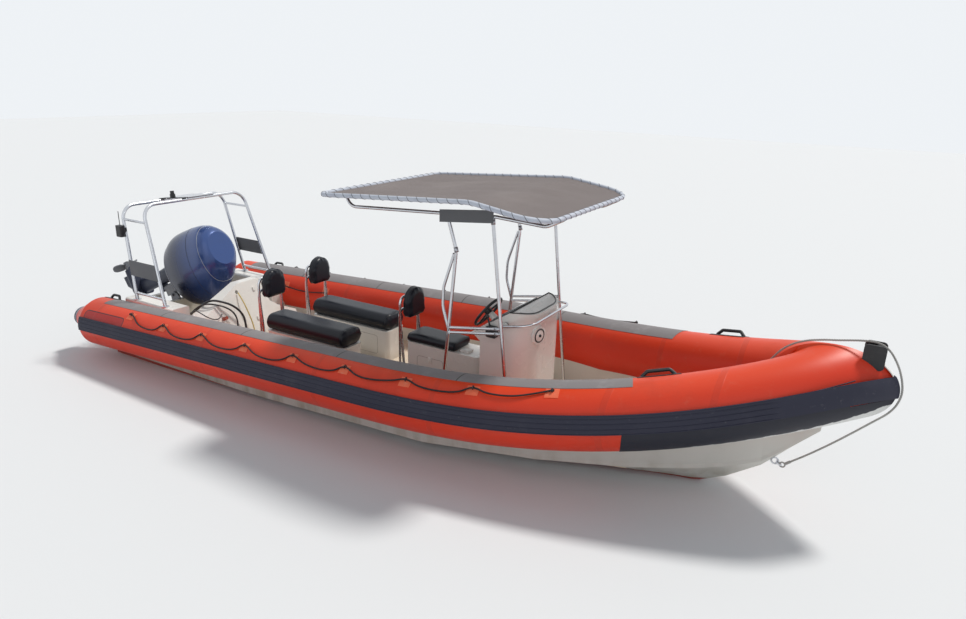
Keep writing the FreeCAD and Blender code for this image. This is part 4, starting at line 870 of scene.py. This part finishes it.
def puff_up(obj, voxel, pressure):
    remesh = obj.modifiers.new("remesh", "REMESH")
    remesh.mode = "VOXEL"
    remesh.voxel_size = voxel
    bake_modifiers(obj)
    start = [vertex.co.copy() for vertex in obj.data.vertices]
    cloth = obj.modifiers.new("cloth", "CLOTH")
    cloth.settings.use_pressure = True
    cloth.settings.uniform_pressure_force = pressure
    cloth.settings.effector_weights.gravity = 0.0
    cloth.settings.quality = 5
    for step in range(1, 19):
        bpy.context.scene.frame_set(step)
    bake_modifiers(obj)
    bpy.context.scene.frame_set(1)
    for vertex, before in zip(obj.data.vertices, start):
        moved = vertex.co - before
        if moved.length > foam_swell:
            vertex.co = before + moved * (foam_swell / moved.length)


def finish_cushion(obj, outline, y, ends, low, node):
    for vertex in obj.data.vertices:
        vertex.co.z = max(vertex.co.z, low + 0.001)
    smooth = obj.modifiers.new("smooth", "SMOOTH")
    smooth.factor = 0.5
    smooth.iterations = 3
    bake_modifiers(obj)
    maker = bmesh.new()
    maker.from_mesh(obj.data)
    for x in ends:
        line = []
        for side, z in outline:
            place = obj.closest_point_on_mesh(Vector((x, y + side, z)))[1]
            if not line or (place - line[-1]).length > 0.002:
                line.append(place.copy())
        sweep(maker, line, welt_radius, 6, closed=True)
    maker.to_mesh(obj.data)
    maker.free()
    for face in obj.data.polygons:
        face.use_smooth = True
    obj.data.materials.clear()
    obj.data.materials.append(vinyl)
    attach(obj, "boat")
    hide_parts(node)


for title, (y, x1, x2, pod_top, thick, corner) in seats.items():
    node = "helm_seat_cushion" if title == "helm" else "rear_seat_cushions"
    top = pod_top + thick - foam_swell
    outline = round_outline(seat_half - foam_swell, pod_top + 0.001, top, corner, corner)
    cushion = stuffed_block(title + "_cushion", y, x1 + foam_swell, x2 - foam_swell, outline, cushion_edge)
    puff_up(cushion, voxel=0.013, pressure=2.5)
    finish_cushion(cushion, outline, y, (x1 + cushion_edge, x2 - cushion_edge), pod_top, node)

    low, top = pad_low + foam_swell, pad_top - foam_swell
    outline = round_outline(pad_half - foam_swell, low, top, pad_corner, pad_dome)
    back = x1 - pad_set
    pad = stuffed_block(title + "_backrest", y, back, back + pad_thick - foam_swell, outline, pad_edge)
    puff_up(pad, voxel=0.009, pressure=3.0)
    for vertex in pad.data.vertices:
        vertex.co.x = max(vertex.co.x, back)
    ends = (back + pad_edge, back + pad_thick - pad_edge)
    finish_cushion(pad, outline, y, ends, pad_low, "backrest_pads")


# A flat round part, such as a dial or a port, and a flat part with rounded corners, such as a lid
# or a screen, both with an eased front edge.
def close_rings(maker, rings):
    count = len(rings[0])
    for low, high in zip(rings, rings[1:]):
        for k in range(count):
            maker.faces.new((low[k], low[(k + 1) % count], high[(k + 1) % count], high[k]))
    maker.faces.new(rings[0])
    maker.faces.new(rings[-1])


def circle(middle, normal, radius, steps=48):
    across = normal.orthogonal().normalized()
    upward = normal.cross(across)
    turns = [2 * math.pi * k / steps for k in range(steps)]
    return [middle + radius * (math.cos(t) * across + math.sin(t) * upward) for t in turns]


def disc(maker, middle, normal, radius, thick, sides=32):
    rings = []
    for reach, lift in ((radius, 0.0), (radius, 0.7 * thick), (0.9 * radius, thick)):
        line = circle(middle + normal * lift, normal, reach, sides)
        rings.append([maker.verts.new(point) for point in line])
    close_rings(maker, rings)


def slab(maker, middle, u, v, normal, half_u, half_v, thick, corner):
    outline = round_outline(half_u, -half_v, half_v, corner, corner, 4)
    rings = []
    for shrink, lift in ((0.0, 0.0), (0.0, 0.7 * thick), (0.3 * thick, thick)):
        ring = []
        for a, b in outline:
            a -= math.copysign(min(abs(a), shrink), a)
            b -= math.copysign(min(abs(b), shrink), b)
            ring.append(maker.verts.new(middle + a * u + b * v + lift * normal))
        rings.append(ring)
    close_rings(maker, rings)


# Seat pods: white mouldings under the cushions. Each side has a locker lid, drawn by a shallow
# groove, with a small latch at its upper edge, and a white catch stands in front of the helm seat.
lid_grey = new_material("lid_grey", 0.5, Base_Color=(0.30, 0.28, 0.26, 1))[0]
latch_white, tree, shader = new_material("latch_white", 0.35)
weathered(tree, shader, (0.85, 0.84, 0.80), (0.5, 0.47, 0.42), 0.4, 18.0)
pod_half, deck_top, groove_radius = 0.150, 0.200, 0.0018
lid_margin, lid_half_height, lid_corner = 0.14, 0.105, 0.03
latch_rise, latch_set = 0.085, 0.001
forward, sideways, upward = Vector((1, 0, 0)), Vector((0, 1, 0)), Vector((0, 0, 1))
grooves = bmesh.new()
latches = bmesh.new()
for y, x1, x2, pod_top, thick, corner in seats.values():
    lid_from, lid_to = x1 + lid_margin, x2 - lid_margin
    middle_x, middle_z = (lid_from + lid_to) / 2, (deck_top + pod_top) / 2
    lid_half = (lid_to - lid_from) / 2
    outline = round_outline(lid_half, -lid_half_height, lid_half_height, lid_corner, lid_corner)
    for sign in (-1, 1):
        line = [Vector((middle_x + a, y + sign * pod_half, middle_z + b)) for a, b in outline]
        sweep(grooves, line, groove_radius, 6, closed=True)
        latch_place = Vector((middle_x, y + sign * (pod_half - latch_set), middle_z + latch_rise))
        slab(latches, latch_place, forward, upward, sign * sideways, 0.022, 0.030, 0.008, 0.008)
helm_catch_place = Vector((4.215, -0.05, 0.654))
slab(latches, helm_catch_place, forward, sideways, upward, 0.055, 0.045, 0.022, 0.012)
mesh_piece("pod_grooves", grooves, lid_grey)
mesh_piece("pod_latches", latches, latch_white)


# Console: a white moulding with a sloping dash. Two dark screens, six dials and a row of switches
# are let into the dash, and a black gasket runs round the top lid.
screen_black = new_material("screen_black", 0.12, Coat_Weight=0.5, Base_Color=(0.010, 0.012, 0.016, 1))[0]
dash_low, dash_high = Vector((4.470, 0, 1.010)), Vector((4.840, 0, 1.245))
dash_up = (dash_high - dash_low).normalized()
dash_out = Vector((-dash_up.z, 0, dash_up.x))
dash_length = (dash_high - dash_low).length


def on_dash(share, y, lift=0.0):
    return dash_low + share * dash_length * dash_up + y * sideways + lift * dash_out


screens = bmesh.new()
for y, half_wide, half_high, thick in ((0.145, 0.150, 0.115, 0.012), (-0.19, 0.120, 0.095, 0.010)):
    slab(screens, on_dash(0.56, y), sideways, dash_up, dash_out, half_wide, half_high, thick, 0.018)
mesh_piece("dash_screens", screens, screen_black)

dials = bmesh.new()
for y in (-0.255, -0.19, -0.125):
    for share in (0.46, 0.66):
        disc(dials, on_dash(share, y, 0.010), dash_out, 0.024, 0.006)
for k in range(6):
    slab(dials, on_dash(0.88, -0.24 + 0.045 * k), sideways, dash_up, dash_out, 0.012, 0.009, 0.012, 0.003)
mesh_piece("dash_dials", dials, panel_grey)

nose_radius, console_half, console_front = 0.260, 0.390, 5.030
lid_edge, lid_back, lid_half_wide, lid_height = 0.012, 4.845, 0.372, 1.30


def console_corner(degrees, radius, height):
    angle = math.radians(degrees)
    return Vector((console_front - nose_radius + radius * math.cos(angle),
                   -console_half + nose_radius + radius * math.sin(angle), height))


half_line = [console_corner(-90 + 90 * k / 12, nose_radius - lid_edge, lid_height) for k in range(13)]
half_line = [p for p in half_line if p.x > lid_back - 0.005]
lid_line = half_line + [Vector((p.x, -p.y, p.z)) for p in reversed(half_line)]
lid_corners = [Vector((lid_back, side * lid_half_wide, lid_height)) for side in (-1, 1)]
lid_line = [lid_corners[0]] + lid_line + [lid_corners[1]]
gasket = bmesh.new()
sweep(gasket, cling(lid_line, "console", 0.002), 0.006, 6, closed=True)
mesh_piece("console_gasket", gasket, hose_black)

# A round port with a black ring sits on the console's near corner and a small filler cap on its
# side, and a moulded line runs round the foot.
port_turn, port_height, port_proud = math.radians(-13.0), 1.030, 0.018
port_out = Vector((math.cos(port_turn), math.sin(port_turn), 0))
port_face = Vector((console_front - nose_radius, nose_radius - console_half, port_height))
port_face += (nose_radius + port_proud) * port_out
port_glass = bmesh.new()
disc(port_glass, port_face + 0.0005 * port_out, port_out, 0.052, 0.004)
mesh_piece("port_glass", port_glass, latch_white)
paint(latch_white, "console_port")
port_ring = bmesh.new()
disc(port_ring, port_face + 0.004 * port_out, port_out, 0.013, 0.010)
sweep(port_ring, circle(port_face + 0.001 * port_out, port_out, 0.058), 0.0065, 8, closed=True)
mesh_piece("port_rim", port_ring, black_plastic)
filler_face = Vector((4.816, -console_half - 0.0123, 1.139))
filler = bmesh.new()
disc(filler, filler_face, -sideways, 0.017, 0.005)
sweep(filler, circle(filler_face, -sideways, 0.022), 0.004, 6, closed=True)
mesh_piece("filler_cap", filler, latch_white)

foot_height, foot_drop, foot_from, foot_low = 0.42, 0.10, 4.575, 0.40
foot_line = [Vector((foot_from + 0.04 * k, -console_half, foot_low + 0.006 * k)) for k in range(5)]
foot_line += [console_corner(-90 + 100 * k / 14, nose_radius, foot_height - foot_drop * (k / 14) ** 2)
              for k in range(15)]
foot = bmesh.new()
sweep(foot, cling(foot_line, "console", 0.0), 0.0025, 6)
mesh_piece("console_foot_line", foot, lid_grey)


# Canopy: taupe acrylic cloth drawn tight inside the rim, and a white sleeve round the tube laced with
# thin dark cord, so the cloth sags only a little between the crossings.
canopy_half, rim_radius = 0.905, 0.018
canopy_rear, canopy_knee, canopy_front = (3.210, 2.155), (4.740, 2.252), (5.370, 2.155)
rear_bend, knee_bend, front_bend = 0.110, 0.600, 0.260
sleeve_wall, cloth_tuck = 0.002, 0.006
canopy_cloth, tree, shader = new_material("canopy_cloth", 0.9, Sheen_Weight=0.2)
place = add(tree, "ShaderNodeTexCoord").outputs["Object"]
weathered(tree, shader, (0.165, 0.135, 0.130), (0.24, 0.205, 0.195), 0.7, 1.7, 0.4)
axes = add(tree, "ShaderNodeSeparateXYZ", {0: place}).outputs
thread_pitch = 0.004
warp = math_node(tree, "SINE", math_node(tree, "MULTIPLY", axes["X"], 2 * math.pi / thread_pitch))
weft = math_node(tree, "SINE", math_node(tree, "MULTIPLY", axes["Y"], 2 * math.pi / thread_pitch))
threads = math_node(tree, "ADD", warp, weft)
relief = add(tree, "ShaderNodeBump", {"Strength": 0.4, "Distance": 0.0008, "Height": threads})
tree.links.new(relief.outputs["Normal"], shader.inputs["Normal"])
knee_ease, knee_drop = knee_bend * math.tan(math.radians(6.3)), 0.0036


def canopy_height(x):
    (x1, z1), (x2, z2), (x3, z3) = canopy_rear, canopy_knee, canopy_front
    straight = z1 + (z2 - z1) * (x - x1) / (x2 - x1) if x < x2 else z2 + (z3 - z2) * (x - x2) / (x3 - x2)
    near = max(0.0, 1 - abs(x - x2) / knee_ease)
    return straight - knee_drop * near * near


cloth_back, cloth_fore = canopy_rear[0] + rim_radius - cloth_tuck, canopy_front[0] - rim_radius + cloth_tuck
cloth_half = canopy_half - rim_radius + cloth_tuck
columns, rows = 108, 84
maker = bmesh.new()
grid = []
for i in range(columns + 1):
    x = cloth_back + (cloth_fore - cloth_back) * i / columns
    end, corner = min((x - cloth_back, rear_bend), (cloth_fore - x, front_bend))
    trim = corner - math.sqrt(max(0.0, corner ** 2 - (corner - min(end, corner)) ** 2))
    half = cloth_half - trim
    line = []
    for j in range(rows + 1):
        share = 2 * j / rows - 1
        y = half * share
        inner = (1 - share * share) * min(1.0, end / 0.35)
        sag = 0.016 * inner * (1 + 0.25 * math.sin(7.0 * x + 3.0 * y) + 0.15 * math.sin(17.0 * y - 5.0 * x))
        pull = 0.003 * math.cos(2 * math.pi * x / 0.095) * abs(share) ** 14
        line.append(maker.verts.new((x, y, canopy_height(x) - sag + pull)))
    grid.append(line)
for a, b in zip(grid, grid[1:]):
    for j in range(rows):
        maker.faces.new((a[j], b[j], b[j + 1], a[j + 1]))
canopy_sheet = mesh_piece("canopy_sheet", maker, canopy_cloth)
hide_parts("canopy")

rim_corners = []
for side in (-1, 1):
    row = [(canopy_rear, rear_bend), (canopy_knee, knee_bend), (canopy_front, front_bend)]
    for (x, z), bend in row[::-side]:
        rim_corners.append((Vector((x, side * canopy_half, z)), bend))


def rounded_ring(corners, steps):
    ring = []
    count = len(corners)
    for k, (corner, bend) in enumerate(corners):
        before = corners[k - 1][0] - corner
        after = corners[(k + 1) % count][0] - corner
        half = (math.pi - before.angle(after)) / 2
        cut = min(bend * math.tan(half), 0.45 * before.length, 0.45 * after.length)
        radius = cut / math.tan(half)
        inward = (before.normalized() + after.normalized()).normalized()
        centre = corner + inward * (radius / math.cos(half))
        first = corner + before.normalized() * cut - centre
        last = corner + after.normalized() * cut - centre
        for s in range(steps + 1):
            ring.append(centre + first.lerp(last, s / steps).normalized() * radius)
    return ring


lacing_radius, lacing_pitch = 0.0022, 0.095
sleeve_white, tree, shader = new_material("sleeve_white", 0.75)
weathered(tree, shader, (0.56, 0.60, 0.68), (0.34, 0.37, 0.46), 0.7, 9.0, 0.42)
lacing_grey = new_material("lacing_grey", 0.8, Base_Color=(0.10, 0.105, 0.125, 1))[0]
rim_line = rounded_ring(rim_corners, 10)
maker = bmesh.new()
sweep(maker, rim_line, rim_radius + sleeve_wall, 14, closed=True)
canopy_sleeve = mesh_piece("canopy_sleeve", maker, sleeve_white)
maker = bmesh.new()
lacing_reach = rim_radius + sleeve_wall + 0.5 * lacing_radius
lacing = wind_strands(rim_line + [rim_line[0].copy()], lacing_reach, 1, lacing_pitch, 12)[0]
sweep(maker, lacing, lacing_radius, 5)
canopy_lacing = mesh_piece("canopy_lacing", maker, lacing_grey)

# Clamps of the canopy frame: short sleeves of dull steel, bolted round the tubes where the legs meet
# the rails and the arms.
clamp_steel, tree, shader = new_material("clamp_steel", 0.38, Metallic=0.9)
weathered(tree, shader, (0.42, 0.43, 0.46), (0.18, 0.17, 0.17), 0.6, 20.0)
leg_side, clamp_wall, clamp_half = 0.570, 0.0035, 0.022
fore_leg = (4.755, 2.092), (4.983, 0.200), (0.02,)
rear_leg = (4.320, 2.066), (4.415, 1.770), (0.02, 0.98)
arm_aft, arm_fore, arm_rise, arm_heights, arm_share = 4.345, 4.866, 0.090, (1.030, 1.074), 0.93
leg_radius, arm_radius = 0.015, 0.012
clamps = bmesh.new()


def clamp_on(start, end, share, radius):
    middle = start.lerp(end, share)
    along = (end - start).normalized()
    sweep(clamps, [middle - clamp_half * along, middle + clamp_half * along], radius + clamp_wall, 16)


for side in (-leg_side, leg_side):
    for (x1, z1), (x2, z2), shares in (fore_leg, rear_leg):
        for share in shares:
            clamp_on(Vector((x1, side, z1)), Vector((x2, side, z2)), share, leg_radius)
    for low in arm_heights:
        aft, fore = Vector((arm_aft, side, low)), Vector((arm_fore, side, low + arm_rise))
        clamp_on(aft, fore, arm_share, arm_radius)
mesh_piece("canopy_clamps", clamps, clamp_steel)
